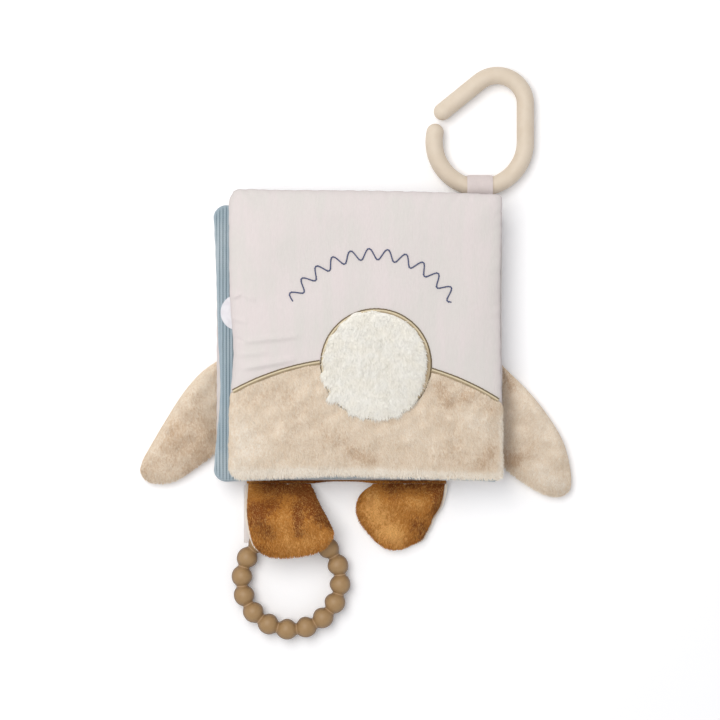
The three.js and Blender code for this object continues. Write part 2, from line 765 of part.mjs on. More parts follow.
const clipRings = clipPath.map(([x, y, angle]) => tubeRing(x, y, angle, clipZ, clipTube, clipSides));
addPiece('clip_ring', skin([
  ...roundEnd(clipPath[0], -1).reverse(),
  ...clipRings,
  ...roundEnd(clipPath[clipPath.length - 1], 1),
]), clipColour, 0.5);

addPiece('clip_tab', clothLoop({
  seamY: clipSeamY,
  facing: 1,
  seamZ: frontSeam,
  neck: 0,
  wall: clipTabWall,
  width: clipTabWidth,
  x: clipX,
  tubeOut: clipToSeam,
  tubeZ: clipZ,
  tube: clipTube,
  bend: clipLowerRadius,
  arcShare: tabArcShare,
}), cottonColour);

// The origin is the middle of the underside of the book's box
const bounds = new THREE.Box3().setFromObject(book);
const middle = bounds.getCenter(new THREE.Vector3());
book.position.set(-middle.x, -middle.y, -bounds.min.z);

export default book;
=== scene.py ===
"""A crinkle cloth book for a baby, closed and lying on its front cover. Lengths are in metres. The
sections follow the book as it is put together: leaves, covers and stitching, wings and feet, what
is sealed inside, the spine, and last the cloth loops and the rings."""

import json
import math

import bmesh
import bpy
import numpy as np
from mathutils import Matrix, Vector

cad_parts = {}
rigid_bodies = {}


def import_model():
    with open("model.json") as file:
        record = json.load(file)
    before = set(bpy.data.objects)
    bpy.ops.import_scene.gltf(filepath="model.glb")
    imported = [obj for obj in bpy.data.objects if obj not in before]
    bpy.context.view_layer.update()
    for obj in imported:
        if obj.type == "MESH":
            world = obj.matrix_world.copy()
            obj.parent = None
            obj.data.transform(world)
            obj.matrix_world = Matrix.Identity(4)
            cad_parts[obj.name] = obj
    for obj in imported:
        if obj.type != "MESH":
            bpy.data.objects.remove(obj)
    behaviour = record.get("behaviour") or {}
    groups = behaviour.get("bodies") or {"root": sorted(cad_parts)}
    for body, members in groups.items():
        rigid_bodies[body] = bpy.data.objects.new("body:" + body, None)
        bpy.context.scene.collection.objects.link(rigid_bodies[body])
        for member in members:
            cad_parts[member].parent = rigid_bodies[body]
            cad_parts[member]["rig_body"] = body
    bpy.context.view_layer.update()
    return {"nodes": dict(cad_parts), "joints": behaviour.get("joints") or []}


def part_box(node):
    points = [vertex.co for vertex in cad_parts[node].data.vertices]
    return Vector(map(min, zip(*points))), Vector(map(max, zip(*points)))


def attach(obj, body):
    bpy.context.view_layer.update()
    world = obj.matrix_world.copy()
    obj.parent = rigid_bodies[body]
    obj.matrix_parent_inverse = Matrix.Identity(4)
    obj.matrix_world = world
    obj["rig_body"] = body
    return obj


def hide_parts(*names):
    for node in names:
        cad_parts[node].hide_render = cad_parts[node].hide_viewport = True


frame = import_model()


# The studio: a camera straight over the book, one broad soft box above it and to the upper
# left, a pale surround, and a white floor that keeps the book's shadow.
MM = 0.001
FRAME_PIXELS, FRAME_WIDTH = 720, 396 * MM
CAMERA_X, CAMERA_Y, CAMERA_HEIGHT = 2.27 * MM, -3.70 * MM, 1.5
SENSOR = 36.0
LAMP_PLACE, LAMP_SIZE, LAMP_WATTS = (-0.49, 0.43, 1.5), (1.05, 1.6), 17.0
LAMP_COLOUR = (1.0, 0.985, 0.965)
SURROUND, WHITE = (0.50, 0.505, 0.52, 1), (1, 1, 1, 1)
FLOOR_REACH, FLOOR_DROP = 3.0, 0.05 * MM
FLOOR_COLOUR, FLOOR_SHOWN, FLOOR_GLOW = (0.93, 0.93, 0.94, 1), (1.07, 1.07, 1.08, 1), 0.04


def seen_at(px, py, height=0.0):
    """The place on a level plane that shows at a pixel of the photograph's frame."""
    pixel = FRAME_WIDTH / FRAME_PIXELS * (1 - height / CAMERA_HEIGHT)
    return np.array([CAMERA_X + (px - FRAME_PIXELS / 2) * pixel, CAMERA_Y - (py - FRAME_PIXELS / 2) * pixel])


class Nodes:
    """A node tree being built, for a finish or for Geometry Nodes."""

    def __init__(self, tree):
        self.tree = tree

    def node(self, kind, inputs=None, output=0, **settings):
        """Adds a node and gives one of its outputs. Its inputs are readings or plain values."""
        made = self.tree.nodes.new(kind)
        for name, value in settings.items():
            setattr(made, name, value)
        for name, value in (inputs or {}).items():
            if isinstance(value, Reading):
                self.tree.links.new(value.socket, made.inputs[name])
            else:
                made.inputs[name].default_value = value
        return Reading(self, made.outputs[output]) if made.outputs else made


class Reading:
    """What a node puts out. Sums, products and so on of readings add Math nodes."""

    def __init__(self, nodes, socket):
        self.nodes, self.socket = nodes, socket

    def beside(self, output):
        """Another output of the same node."""
        return Reading(self.nodes, self.socket.node.outputs[output])

    def maths(self, operation, other, swapped=False):
        numbers = (other, self) if swapped else (self, other)
        return self.nodes.node("ShaderNodeMath", dict(enumerate(numbers)), operation=operation)

    def __add__(self, other):
        return self.maths("ADD", other)

    def __sub__(self, other):
        return self.maths("SUBTRACT", other)

    def __mul__(self, other):
        return self.maths("MULTIPLY", other)

    def __truediv__(self, other):
        return self.maths("DIVIDE", other)

    def __rsub__(self, other):
        return self.maths("SUBTRACT", other, swapped=True)

    def __rtruediv__(self, other):
        return self.maths("DIVIDE", other, swapped=True)

    def between(self, low, high):
        """0 at low and under, 1 at high and over."""
        spread = {"Value": self, "From Min": low, "From Max": high}
        return self.nodes.node("ShaderNodeMapRange", spread, interpolation_type="SMOOTHSTEP")


def put(name, data):
    """An object of that data in the scene, unturned at the origin."""
    made = bpy.data.objects.new(name, data)
    studio.collection.objects.link(made)
    return made


def mirror_or_camera(nodes):
    """1 where the camera, a reflection or a view through glass looks, 0 for light on the object."""
    looks = nodes.node("ShaderNodeLightPath", output="Is Camera Ray")
    mirrored, through = looks.beside("Is Glossy Ray"), looks.beside("Is Transmission Ray")
    return looks.maths("MAXIMUM", mirrored).maths("MAXIMUM", through)


def empty_tree(owner):
    owner.use_nodes = True
    owner.node_tree.nodes.clear()
    return Nodes(owner.node_tree)


studio = bpy.context.scene
studio.view_settings.view_transform = "Standard"
camera = put("camera", bpy.data.cameras.new("camera"))
camera.location = (CAMERA_X, CAMERA_Y, CAMERA_HEIGHT)
camera.data.sensor_width = SENSOR
camera.data.lens = SENSOR * CAMERA_HEIGHT / FRAME_WIDTH
studio.camera = camera

lamp = put("lamp", bpy.data.lights.new("lamp", "AREA"))
lamp.location = LAMP_PLACE
lamp.data.shape, lamp.data.energy, lamp.data.color = "ELLIPSE", LAMP_WATTS, LAMP_COLOUR
lamp.data.size, lamp.data.size_y = LAMP_SIZE

studio.world = bpy.data.worlds.new("surround")
sky = empty_tree(studio.world)
lighting, backdrop = [sky.node("ShaderNodeBackground", {"Color": c}) for c in (SURROUND, WHITE)]
chosen = sky.node("ShaderNodeMixShader", {0: mirror_or_camera(sky), 1: lighting, 2: backdrop})
sky.node("ShaderNodeOutputWorld", {"Surface": chosen})

floor_paint = bpy.data.materials.new("white floor")
ground = empty_tree(floor_paint)
matt, bright = [ground.node("ShaderNodeBsdfDiffuse", {"Color": c}) for c in (FLOOR_COLOUR, FLOOR_SHOWN)]
glow = ground.node("ShaderNodeEmission", {"Color": WHITE, "Strength": FLOOR_GLOW})
lit = ground.node("ShaderNodeAddShader", {0: bright, 1: glow})
shown = ground.node("ShaderNodeMixShader", {0: mirror_or_camera(ground), 1: matt, 2: lit})
ground.node("ShaderNodeOutputMaterial", {"Surface": shown})

floor_mesh = bpy.data.meshes.new("floor")
floor_mesh.from_pydata([(x * FLOOR_REACH, y * FLOOR_REACH, -FLOOR_DROP)
                        for x, y in ((-1, -1), (1, -1), (1, 1), (-1, 1))], [], [(0, 1, 2, 3)])
floor_mesh.materials.append(floor_paint)
put("floor", floor_mesh)


# Cotton faces of the pages: plain woven cotton, cut square with rounded corners and sewn to
# each other round the edge with a padded filling between, so that the seam draws them in.
GAP, CLOTH = 0.3 * MM, 1.0 * MM
SPINE_CORNER, FREE_CORNER, FRONT_CORNER = 3 * MM, 7 * MM, 13 * MM
SPINE_DRAW, FREE_DRAW = 0.5 * MM, 1.6 * MM
PALE_DRAWS = (SPINE_DRAW, FREE_DRAW, 0.5 * MM, FREE_DRAW)
RIM_SHARE = 0.94
INNER_SHARES = (0.9 * RIM_SHARE, 0.6 * RIM_SHARE, 0.25 * RIM_SHARE)
OUTLINE_POINTS, PAGE_GRID = 160, 110
SEAM_SCALLOP, SCALLOPS = 0.09 * MM, 66
PUCKER, PUCKER_REACH, PUCKER_START, HALF_PAGE = 0.11 * MM, 3.4 * MM, 0.6 * MM, 75 * MM
SOFT_WAVE, SOFT_HEIGHT = 44 * MM, 0.3 * MM
GATHER = 1.5
SEAM_SHADE = 1.3 * MM
FLAT_CURVES = {-1: (13, 0.32), 1: (13, 0.32)}


def display(red, green, blue):
    """A colour as the display shows it, 0 to 255, in the renderer's linear numbers."""
    parts = [c / 255 for c in (red, green, blue)]
    return tuple(p / 12.92 if p <= 0.04045 else ((p + 0.055) / 1.055) ** 2.4 for p in parts) + (1,)


class Finish(Nodes):
    """A material: what stays the same all over is set on the shader, the rest is built from nodes."""

    def __init__(self, name, roughness, specular, sheen=0.0, tint=WHITE):
        self.material = bpy.data.materials.new(name)
        self.material.use_nodes = True
        super().__init__(self.material.node_tree)
        self.shader = self.tree.nodes["Principled BSDF"]
        uniform = {"Roughness": roughness, "Specular IOR Level": specular, "Sheen Weight": sheen,
                   "Sheen Tint": tint}
        for socket, value in uniform.items():
            self.shader.inputs[socket].default_value = value
        self.place = self.node("ShaderNodeTexCoord", output="Object")

    def noise(self, size, stretch=(1, 1, 1), detail=2.0, warp=0.0):
        """Random patches of about that size, drawn out along x, y and z by stretch."""
        scale = [1 / (size * s) for s in stretch]
        placed = self.node("ShaderNodeMapping", {"Vector": self.place, "Scale": scale})
        return self.node("ShaderNodeTexNoise", {"Vector": placed, "Scale": 1.0, "Detail": detail,
                                                "Distortion": warp})

    def stripes(self, pitch, axis, warp=0.0):
        """A wave with that pitch along one axis, from 0 to 1."""
        band = {"Vector": self.place, "Scale": 0.314159 / pitch, "Distortion": warp, "Detail": 1.0}
        return self.node("ShaderNodeTexWave", band, "Fac", bands_direction=axis)

    def attribute(self, name):
        return self.node("ShaderNodeAttribute", None, "Fac", attribute_name=name)

    def mix(self, factor, first, second):
        return self.node("ShaderNodeMix", {0: factor, 6: first, 7: second}, 2, data_type="RGBA")

    def clouds(self, size, low, first, second, detail=2.0):
        """Soft patches of two close tints."""
        return self.mix(self.noise(size, detail=detail).between(low, 1 - low), first, second)

    def paint(self, colour):
        self.tree.links.new(colour.socket, self.shader.inputs["Base Color"])

    def relief(self, height, depth):
        """Raises the surface by depth where height is 1."""
        bump = self.node("ShaderNodeBump", {"Height": height, "Distance": depth, "Strength": 1.0})
        self.tree.links.new(bump.socket, self.shader.inputs["Normal"])


def ripples(x, y, wavelength, seed, count=16):
    """Soft random waves of about that length, with no direction."""
    chance = np.random.default_rng(seed)
    total = np.zeros(np.shape(x))
    for _ in range(count):
        turn = chance.uniform(0, 2 * math.pi)
        pace = 2 * math.pi / (wavelength * chance.uniform(0.7, 1.5))
        total += np.cos(pace * (x * math.cos(turn) + y * math.sin(turn)) + chance.uniform(0, 2 * math.pi))
    return total / math.sqrt(count / 2)


def seam_waves(turn, cycles, seed, count=12):
    """Random waves along a closed seam: turn runs from 0 to 1 round it."""
    chance = np.random.default_rng(seed)
    total = np.zeros(np.shape(turn))
    for _ in range(count):
        times = chance.integers(int(cycles * 0.6), int(cycles * 1.5))
        total += np.cos(2 * math.pi * (times * turn + chance.random()))
    return total / math.sqrt(count / 2)


def resample(points, count):
    """count + 1 points at even steps along a line of points."""
    points = np.asarray(points, float)
    steps = np.concatenate([[0], np.cumsum(np.linalg.norm(np.diff(points, axis=0), axis=1))])
    even = np.linspace(0, steps[-1], count + 1)
    return np.stack([np.interp(even, steps, column) for column in points.T], axis=1)


def inward_of(line):
    """Unit directions to the left of a line, at each of its points."""
    way = np.gradient(line, axis=0)
    return np.column_stack([-way[:, 1], way[:, 0]]) / np.linalg.norm(way, axis=1)[:, None]


def plan_of(box):
    """The middle of a box and half its size, seen from above."""
    low, high = [np.array(corner[:2]) for corner in box]
    return (low + high) / 2, (high - low) / 2


class Pad:
    """One sewn pad: a closed seam in four sides, and the height of its two faces over it."""

    def __init__(self, sides, seam, fall, rise, curves, relief, taper=None, lift=None):
        self.sides, self.seam, self.curves, self.relief = sides, seam, curves, relief
        self.reach = {-1: fall, 1: rise}
        self.taper = taper or (lambda x, y: 1.0)
        self.lift = lift or (lambda x, y: 0.0)
        self.ring = np.concatenate([side[:-1] for side in sides])
        self.centre = self.ring.mean(axis=0)
        out = self.ring - self.centre
        angles = np.unwrap(np.arctan2(out[:, 1], out[:, 0]))
        turns = np.concatenate([k / 4 + np.arange(len(s) - 1) / (len(s) - 1) / 4
                                for k, s in enumerate(sides)])
        self.angles = np.concatenate([angles + 2 * math.pi * n for n in (-1, 0, 1)])
        self.turns = np.concatenate([turns + n for n in (-1, 0, 1)])
        self.radii = np.tile(np.linalg.norm(out, axis=1), 3)

    def where(self, x, y):
        """Share of the way from the centre to the seam, how far round the seam that is, and the
        distance from the seam along the line to the centre."""
        angle = np.arctan2(y - self.centre[1], x - self.centre[0])
        far = np.hypot(x - self.centre[0], y - self.centre[1])
        share = np.clip(far / np.interp(angle, self.angles, self.radii), 0, 1)
        return share, np.interp(angle, self.angles, self.turns), (1 - share) / np.maximum(share, 0.1) * far

    def height(self, side, x, y, inset=0.0):
        """Height of the upper (1) or lower (-1) face, or of a layer that lies that far inside it;
        nothing lies under the floor."""
        share, turn, _ = self.where(x, y)
        power, ease = self.curves[side]
        bulge = (1 - share ** power) ** ease * self.taper(x, y)
        reach = GAP / 2 + (self.reach[side] - GAP / 2) * bulge
        reach = reach + self.relief(side, x, y, share, turn) - inset
        return np.maximum(self.seam + self.lift(x, y) + side * reach, 0.0)

    def grid(self, across, up):
        """Places in even rows and columns that follow the seam, (up + 1, across + 1, 2)."""
        u, v = np.meshgrid(np.linspace(-1, 1, across + 1), np.linspace(-1, 1, up + 1))
        level = np.maximum(abs(u), abs(v))
        a, b = u / np.where(level == 0, 1, level), v / np.where(level == 0, 1, level)
        upright = abs(u) >= abs(v)
        tests = [(upright & (u > 0), (b + 1) / 2), (~upright & (v > 0), (1 - a) / 2),
                 (upright & (u <= 0), (1 - b) / 2), (~upright & (v <= 0), (a + 1) / 2)]
        edge = np.zeros(u.shape + (2,))
        for side, (here, along) in zip(self.sides, tests):
            for k in range(2):
                at = np.interp(along, np.linspace(0, 1, len(side)), side[:, k])
                edge[..., k] = np.where(here, at, edge[..., k])
        share = 1 - (1 - level) ** GATHER
        return self.centre + share[..., None] * (edge - self.centre)


def new_piece(name, points, faces, finish, crease=50):
    """A piece from its points and faces, smooth but for edges sharper than crease degrees."""
    mesh = bpy.data.meshes.new(name)
    mesh.from_pydata(np.asarray(points).tolist(), [], [list(map(int, face)) for face in faces])
    mesh.shade_smooth()
    mesh.set_sharp_from_angle(angle=math.radians(crease))
    mesh.materials.append(finish.material)
    return put(name, mesh)


def mark(mesh, name, values):
    """Stores a number at each point of a mesh, for its finish."""
    mesh.attributes.new(name, "FLOAT", "POINT").data.foreach_set("value", values)


def sew_face(name, pad, side, finish, across=PAGE_GRID, up=None):
    """One cloth face of a pad: its shown side, the turned-in rim at the seam, and its inner side."""
    rows, columns = (up or across) + 1, across + 1
    x, y = np.moveaxis(pad.grid(columns - 1, rows - 1), -1, 0)
    outer = np.stack([x, y, pad.height(side, x, y)], axis=-1).reshape(-1, 3)
    index = np.arange(rows * columns).reshape(rows, columns)
    rim = np.concatenate([index[0, :-1], index[:-1, -1], index[-1, :0:-1], index[:0:-1, 0]])
    edge = outer[rim, :2] - pad.centre
    rings = []
    for share in (RIM_SHARE, *INNER_SHARES):
        x, y = (pad.centre + share * edge).T
        at_rim = pad.seam + pad.lift(x, y) + side * GAP / 2 + 0.0 * x
        rings.append([x, y, at_rim if share == RIM_SHARE else pad.height(side, x, y, CLOTH)])
    middle = pad.height(side, pad.centre[:1], pad.centre[1:], CLOTH)
    points = np.concatenate([outer, *[np.transpose(ring) for ring in rings], [[*pad.centre, middle[0]]]])
    squares = np.stack([index[:-1, :-1], index[:-1, 1:], index[1:, 1:], index[1:, :-1]], axis=-1)
    faces = [*squares.reshape(-1, 4)]
    around = len(rim)
    loops = [rim] + [len(outer) + k * around + np.arange(around) for k in range(len(rings))]
    for near, far in zip(loops, loops[1:]):
        faces += [*np.stack([np.roll(near, -1), near, far, np.roll(far, -1)], axis=1)]
    last = np.full(around, len(points) - 1)
    faces += [*np.stack([np.roll(loops[-1], -1), loops[-1], last], axis=1)]
    if side < 0:
        faces = [face[::-1] for face in faces]
    piece = new_piece(name, points, faces, finish)
    # How near the seam each shown point is: the cotton finish paints shade there, and the knit's grooves fade
    # out.
    near = np.zeros(len(points))
    near[:len(outer)] = np.exp(-pad.where(outer[:, 0], outer[:, 1])[2] / SEAM_SHADE)
    mark(piece.data, "seam", near)
    return piece


def fit(piece, node, body=None):
    """Puts a finished piece in place of a CAD node, or beside one, on its body and in its finish."""
    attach(piece, body or frame["nodes"][node]["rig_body"])
    if body is None:
        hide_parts(node)


def leaf_sides(low, high, scallop_seed, corner=FREE_CORNER, pinches=(),
               draws=(SPINE_DRAW, FREE_DRAW, FREE_DRAW, FREE_DRAW), top_fall=0.0):
    """The seam of a leaf, in four sides from its lower right corner. Each side is drawn in at its
    middle, and a pinch (side, share along it, width share, depth) draws it in at one place. The
    top edge falls by top_fall towards the spine."""
    centre, half = plan_of((low, high))
    corners = [(1, -1, SPINE_CORNER), (1, 1, SPINE_CORNER), (-1, 1, corner), (-1, -1, corner)]

    def arc(corner, start, end):
        sx, sy, radius = corner
        turns = np.radians(np.linspace(start, end, 12))
        hub = centre + np.array([sx, sy]) * (half - radius)
        return hub + radius * np.column_stack([np.cos(turns), np.sin(turns)])

    sides = []
    for k, draw in enumerate(draws):
        before = arc(corners[k], 90 * k - 45, 90 * k)
        after = arc(corners[(k + 1) % 4], 90 * k, 90 * k + 45)
        run = after[0] - before[-1]
        inward = np.array([-run[1], run[0]]) / np.linalg.norm(run)
        along = np.linspace(0, 1, 40)[1:-1, None]
        straight = before[-1] + along * run + inward * draw * 4 * along * (1 - along)
        side = resample(np.concatenate([before, straight, after]), OUTLINE_POINTS)
        turn = (k + np.linspace(0, 1, OUTLINE_POINTS + 1)) / 4
        draw_in = np.maximum(SEAM_SCALLOP * (1 + seam_waves(turn, SCALLOPS, scallop_seed)), 0)
        for at_side, place, width, depth in pinches:
            if at_side == k:
                draw_in += depth * np.exp(-((4 * turn - k - place) / width) ** 2)
        side = side + inward_of(side) * draw_in[:, None]
        across = (side[:, 0] - low.x) / (high.x - low.x)
        side[:, 1] -= top_fall * across * np.clip((side[:, 1] - centre[1]) / half[1], 0, 1) ** 6
        sides.append(side)
    for k in range(4):
        sides[k][-1] = sides[(k + 1) % 4][0]
    return sides


def puckered(seed, soft=SOFT_HEIGHT):
    """Relief of a sewn cotton face: soft waves, and puckers that fade away from the seam."""
    def relief(side, x, y, share, turn):
        inside = (1 - share) * HALF_PAGE
        waves = soft * (1 - share ** 8) * ripples(x, y, SOFT_WAVE, seed + side)
        fade = np.exp(-inside / PUCKER_REACH) * (1 - np.exp(-inside / PUCKER_START))
        return waves + PUCKER * fade * seam_waves(turn, SCALLOPS, seed)
    return relief


def leaf_pad(lower, upper, curves, relief, scallop_seed, **shape):
    """The pad between two faces of the frame."""
    (low, under), (over, high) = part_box(lower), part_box(upper)
    seam = (under.z + over.z) / 2
    sides = leaf_sides(low, high, scallop_seed, **shape)
    return Pad(sides, seam, seam - low.z, high.z - seam, curves, relief)


def cotton_finish(name, warm, cool, painted_seam_shade):
    """Plain woven cotton: two close tints in upright streaks, fine slubs and a tight weave, and painted shade
    near the seam.
    """
    made = Finish(name, 0.92, 0.25, 0.08)
    streak = made.noise(5 * MM, (1, 7, 1), 3.0).between(0.36, 0.64)
    cloud = made.noise(26 * MM, detail=1.0).between(0.35, 0.65)
    slub = made.noise(0.7 * MM, (1, 5, 1), 2.0).between(0.3, 0.7)
    tint = made.mix(streak * 0.55 + cloud * 0.45, cool, warm)
    shade = made.mix(slub * 0.12, tint, tuple(0.82 * c for c in warm[:3]) + (1,))
    # Painted shade: near the seam the cloth darkens toward the seam's shade colour.
    made.paint(made.mix(made.attribute("seam") * 0.6, shade, painted_seam_shade))
    made.relief(made.stripes(0.5 * MM, "X") + made.stripes(0.5 * MM, "Y") + slub * 1.5, 0.035 * MM)
    return made


# The colour of the painted shade on cotton near its seam.
COTTON_SEAM_SHADE_PAINT = display(204, 194, 193)
cotton = cotton_finish("page cotton", display(232, 222, 220), display(226, 221, 216), COTTON_SEAM_SHADE_PAINT)
front_pad = leaf_pad("front_cover_outer_face", "front_cover_inner_face", FLAT_CURVES,
                     puckered(11, 0.0), 21, corner=FRONT_CORNER)
pale_pad = leaf_pad("pale_leaf_lower_face", "pale_leaf_upper_face", FLAT_CURVES,
                    puckered(12, 0.0), 22, draws=PALE_DRAWS)
for node, pad, side in (("front_cover_inner_face", front_pad, 1), ("pale_leaf_lower_face", pale_pad, -1),
                        ("pale_leaf_upper_face", pale_pad, 1)):
    fit(sew_face(f"{node}_cotton", pad, side, cotton), node)


# Cover plush: short beige minky on the underside of the front cover, the only face that
# isn't seen while the book lies on it.
BEIGE = ((display(212, 184, 152), display(241, 226, 205), display(253, 246, 234)), 7 * MM, 1.2 * MM, 1.9)
PLUSH_SPECK = 0.9 * MM


def plush_tint(made, shades, patch, tuft, crackle):
    """Dark, middle or light, as the nap lies and with painted shade and light: -1 to 1 in a marked
    attribute, random patches, and the fine crackle of tufts that part."""
    dark, middle, light = shades
    lie = made.noise(patch, (1, 1.3, 1), 2.5, 0.4) - 0.5
    cloud = made.noise(4.5 * patch, detail=1.0) - 0.5
    grain = made.noise(tuft, (1, 1.4, 1), 2.5, 1.2) - 0.5
    nap = made.attribute("nap") + lie * 0.3 + cloud * 0.25 + grain * crackle
    tint = made.mix(nap.between(0.0, -1.0), middle, light)
    return made.mix(nap.between(0.0, 1.0), tint, dark)


def plush_ground_finish(name, shades, *pattern):
    """The cloth that a pile grows from, mottled where the pile lies this way and that, and with painted shade
    and light.
    """
    made = Finish(name, 0.95, 0.15, 0.15, shades[2])
    speck = made.noise(PLUSH_SPECK, (1, 1.6, 1), 1.0)
    tint = plush_tint(made, shades, *pattern)
    made.paint(made.mix(speck.between(0.62, 0.38) * 0.25, tint, shades[0]))
    made.relief(speck, 0.3 * MM)
    return made


plush_ground = plush_ground_finish("beige plush ground", *BEIGE)
fit(sew_face("front_cover_outer_face_plush", front_pad, -1, plush_ground), "front_cover_outer_face")


# Rib leaf: both faces are blue rib knit, with its ribs running up the page. The rounded ribs
# stand between narrow grooves, painted dark as shade, where the loops of the knit show as a dotted
# line; loops on the ribs carry a painted highlight.
RIB_PITCH, RIB_DEPTH, RIB_LOOP = 1.8 * MM, 0.3 * MM, 1.05 * MM
RIB_SAG, RIB_SAG_WAVE = 0.25 * MM, 38 * MM
RIB_COLUMNS, RIB_ROWS = 520, 60
RIB_DRAWS = (SPINE_DRAW, FREE_DRAW, 2.0 * MM, FREE_DRAW)
RIB_PINCHES = [(2, 0.68, 0.17, 1.9 * MM)]


def ribbed(side, x, y, share, turn):
    """Relief of a knitted face: soft sags under ribs that run flat at the seam."""
    wave = 0.5 - 0.5 * np.cos(2 * math.pi * x / RIB_PITCH)
    sag = RIB_SAG * (1 - share ** 8) * ripples(x, y, RIB_SAG_WAVE, 31 + side)
    return sag - RIB_DEPTH * (1 - wave) ** 4 * (1 - share ** 60)


knit = Finish("blue rib knit", 0.95, 0.2, 0.15)
loops = knit.stripes(RIB_LOOP, "Y", 0.6)
fleck = knit.noise(0.9 * MM).between(0.35, 0.65)
haze = knit.noise(16 * MM, (1, 2, 1)).between(0.35, 0.65)
ridge_tint = knit.mix(haze, display(160, 177, 187), display(184, 195, 201))
ridge_fleck = knit.mix(fleck * 0.35, ridge_tint, display(148, 166, 176))
# Painted shade: the grooves darken, with the knit's loops showing in them as dots.
rib_groove_shade = 1 - knit.stripes(RIB_PITCH, "X").between(0.02, 0.5)
rib_groove_shade = rib_groove_shade * knit.attribute("seam").between(0.6, 0.12)
# Painted highlight where the loops on the ribs catch the light.
loop_highlight = knit.stripes(RIB_LOOP, "Y", 0.9) * knit.stripes(RIB_PITCH, "X").between(0.1, 0.4)
loop_highlighted = knit.mix(loop_highlight * 0.25, ridge_fleck, display(200, 214, 220))
knit.paint(knit.mix(rib_groove_shade * (loops * 0.9 + 0.1), loop_highlighted, display(74, 96, 104)))
knit.relief(loops * 0.6 + fleck, 0.12 * MM)

rib_pad = leaf_pad("rib_leaf_lower_face", "rib_leaf_upper_face", FLAT_CURVES, ribbed, 23,
                   draws=RIB_DRAWS, pinches=RIB_PINCHES)
for node, side in (("rib_leaf_lower_face", -1), ("rib_leaf_upper_face", 1)):
    fit(sew_face(f"{node}_knit", rib_pad, side, knit, RIB_COLUMNS, RIB_ROWS), node)


# Back cover: its inner face is plain cotton. Its outer face is cotton above and beige plush
# below, cut along the circle of a hill and drawn into soft folds where it was sewn and pressed.
COVER_GRID = 220
COVER_TOP = 0.032
COVER_CURVES = {-1: FLAT_CURVES[-1], 1: (5, 0.45)}
COVER_DRAWS = (SPINE_DRAW, -1.0 * MM, 0.3 * MM, 0.8 * MM)
COVER_PINCHES = [(2, 0.56, 0.14, 2.2 * MM), (1, 0.96, 0.1, -0.8 * MM), (3, 0.38, 0.22, 1.2 * MM),
                 (0, 0.62, 0.27, 0.6 * MM)]
COVER_TOP_FALL = 2.3 * MM
HILL_RADIUS, HILL_ACROSS_SHARE = 140 * MM, 0.527
CUTTER_SIDES, CUTTER_REACH = 240, 20 * MM
LUMP, LUMP_HEIGHT = 9 * MM, 0.2 * MM
# Folds run between two pixels of the photograph, x and y each, and have a width and a height. The
# nap's strokes, and the painted light along the plush's lower and right edges, run between two
# pixels, over a radius in pixels, lighter or darker by the last number.
FOLDS = [
    (234, 337, 246, 343, 0.8 * MM, -0.8 * MM), (240, 342, 300, 336, 1.4 * MM, 1.3 * MM),
    (240, 369, 296, 359, 1.5 * MM, 1.4 * MM), (236, 355, 268, 352, 1.4 * MM, 0.7 * MM),
    (232, 298, 242, 294, 0.8 * MM, 1.0 * MM), (242, 294, 256, 301, 1.2 * MM, 0.7 * MM),
    (231, 318, 248, 323, 1.1 * MM, 0.6 * MM), (470, 199, 498, 196, 1.8 * MM, 0.3 * MM),
    (300, 217, 380, 209, 3.2 * MM, 0.25 * MM), (233.7, 302, 234.7, 388, 0.4 * MM, -0.45 * MM)]
HILL_NAP_AND_SHADING = [
    (242, 403, 258, 400, 7, 0.25), (270, 391, 282, 394, 7, 0.2), (288, 400, 308, 420, 9, 0.25),
    (326, 432, 342, 442, 10, 0.4), (353, 452, 371, 461, 7, 0.75), (439, 385, 449, 402, 8, 0.65),
    (464, 397, 471, 391, 7, 0.55), (487, 405, 496, 413, 7, 0.45), (484, 460, 494, 449, 8, 0.55),
    (474, 467, 487, 469, 7, 0.35), (440, 457, 456, 457, 12, 0.3), (425, 425, 450, 435, 14, 0.15),
    (240, 425, 240, 460, 14, -0.5), (255, 440, 275, 460, 14, -0.3), (234, 474, 300, 472, 5, -1.3),
    (300, 472, 380, 472, 5, -1.3), (380, 473, 500, 476, 5, -1.2), (501, 415, 503, 470, 4, -0.9),
    (412, 432, 428, 440, 11, -0.35), (470, 416, 484, 424, 9, -0.35)]


def along_stroke(x, y, ends, height):
    """Share of the way along a line between two pixels of the photograph, how far off the line to
    one side, and the line's length."""
    a, b = seen_at(*ends[:2], height), seen_at(*ends[2:], height)
    run, length = b - a, np.linalg.norm(b - a)
    off = ((x - a[0]) * run[1] - (y - a[1]) * run[0]) / length
    return ((x - a[0]) * run[0] + (y - a[1]) * run[1]) / (run @ run), off, length


def fold(x, y, *crease):
    """A soft ridge on the cover along a line, or a groove where its height is below 0."""
    *ends, width, height = crease
    along, off, _ = along_stroke(x, y, ends, COVER_TOP)
    fade = np.clip(1 - abs(2 * np.clip(along, 0, 1) - 1) ** 4, 0, 1) * (along > 0) * (along < 1)
    return height * fade * np.exp(-(off / width) ** 2)


def mark_nap_and_shading(mesh, strokes, height):
    """Marks lines where a pile was stroked, or where shade or light is painted on it, dark above 0 and light
    below.
    """
    x, y = np.array([v.co[:2] for v in mesh.vertices]).T
    nap = np.zeros(len(x))
    for *ends, radius, strength in strokes:
        along, off, length = along_stroke(x, y, ends, height)
        away = np.hypot(off, (along - np.clip(along, 0, 1)) * length)
        nap += strength * np.exp(-(away / (radius * FRAME_WIDTH / FRAME_PIXELS)) ** 2)
    mark(mesh, "nap", nap)


def cover_cotton(side, x, y, share, turn):
    return puckered(13)(side, x, y, share, turn) + sum(fold(x, y, *crease) for crease in FOLDS)


def cover_plush(side, x, y, share, turn):
    lumps = LUMP_HEIGHT * (1 - share ** 10) * ripples(x, y, LUMP, 41)
    return puckered(13)(side, x, y, share, turn) + lumps


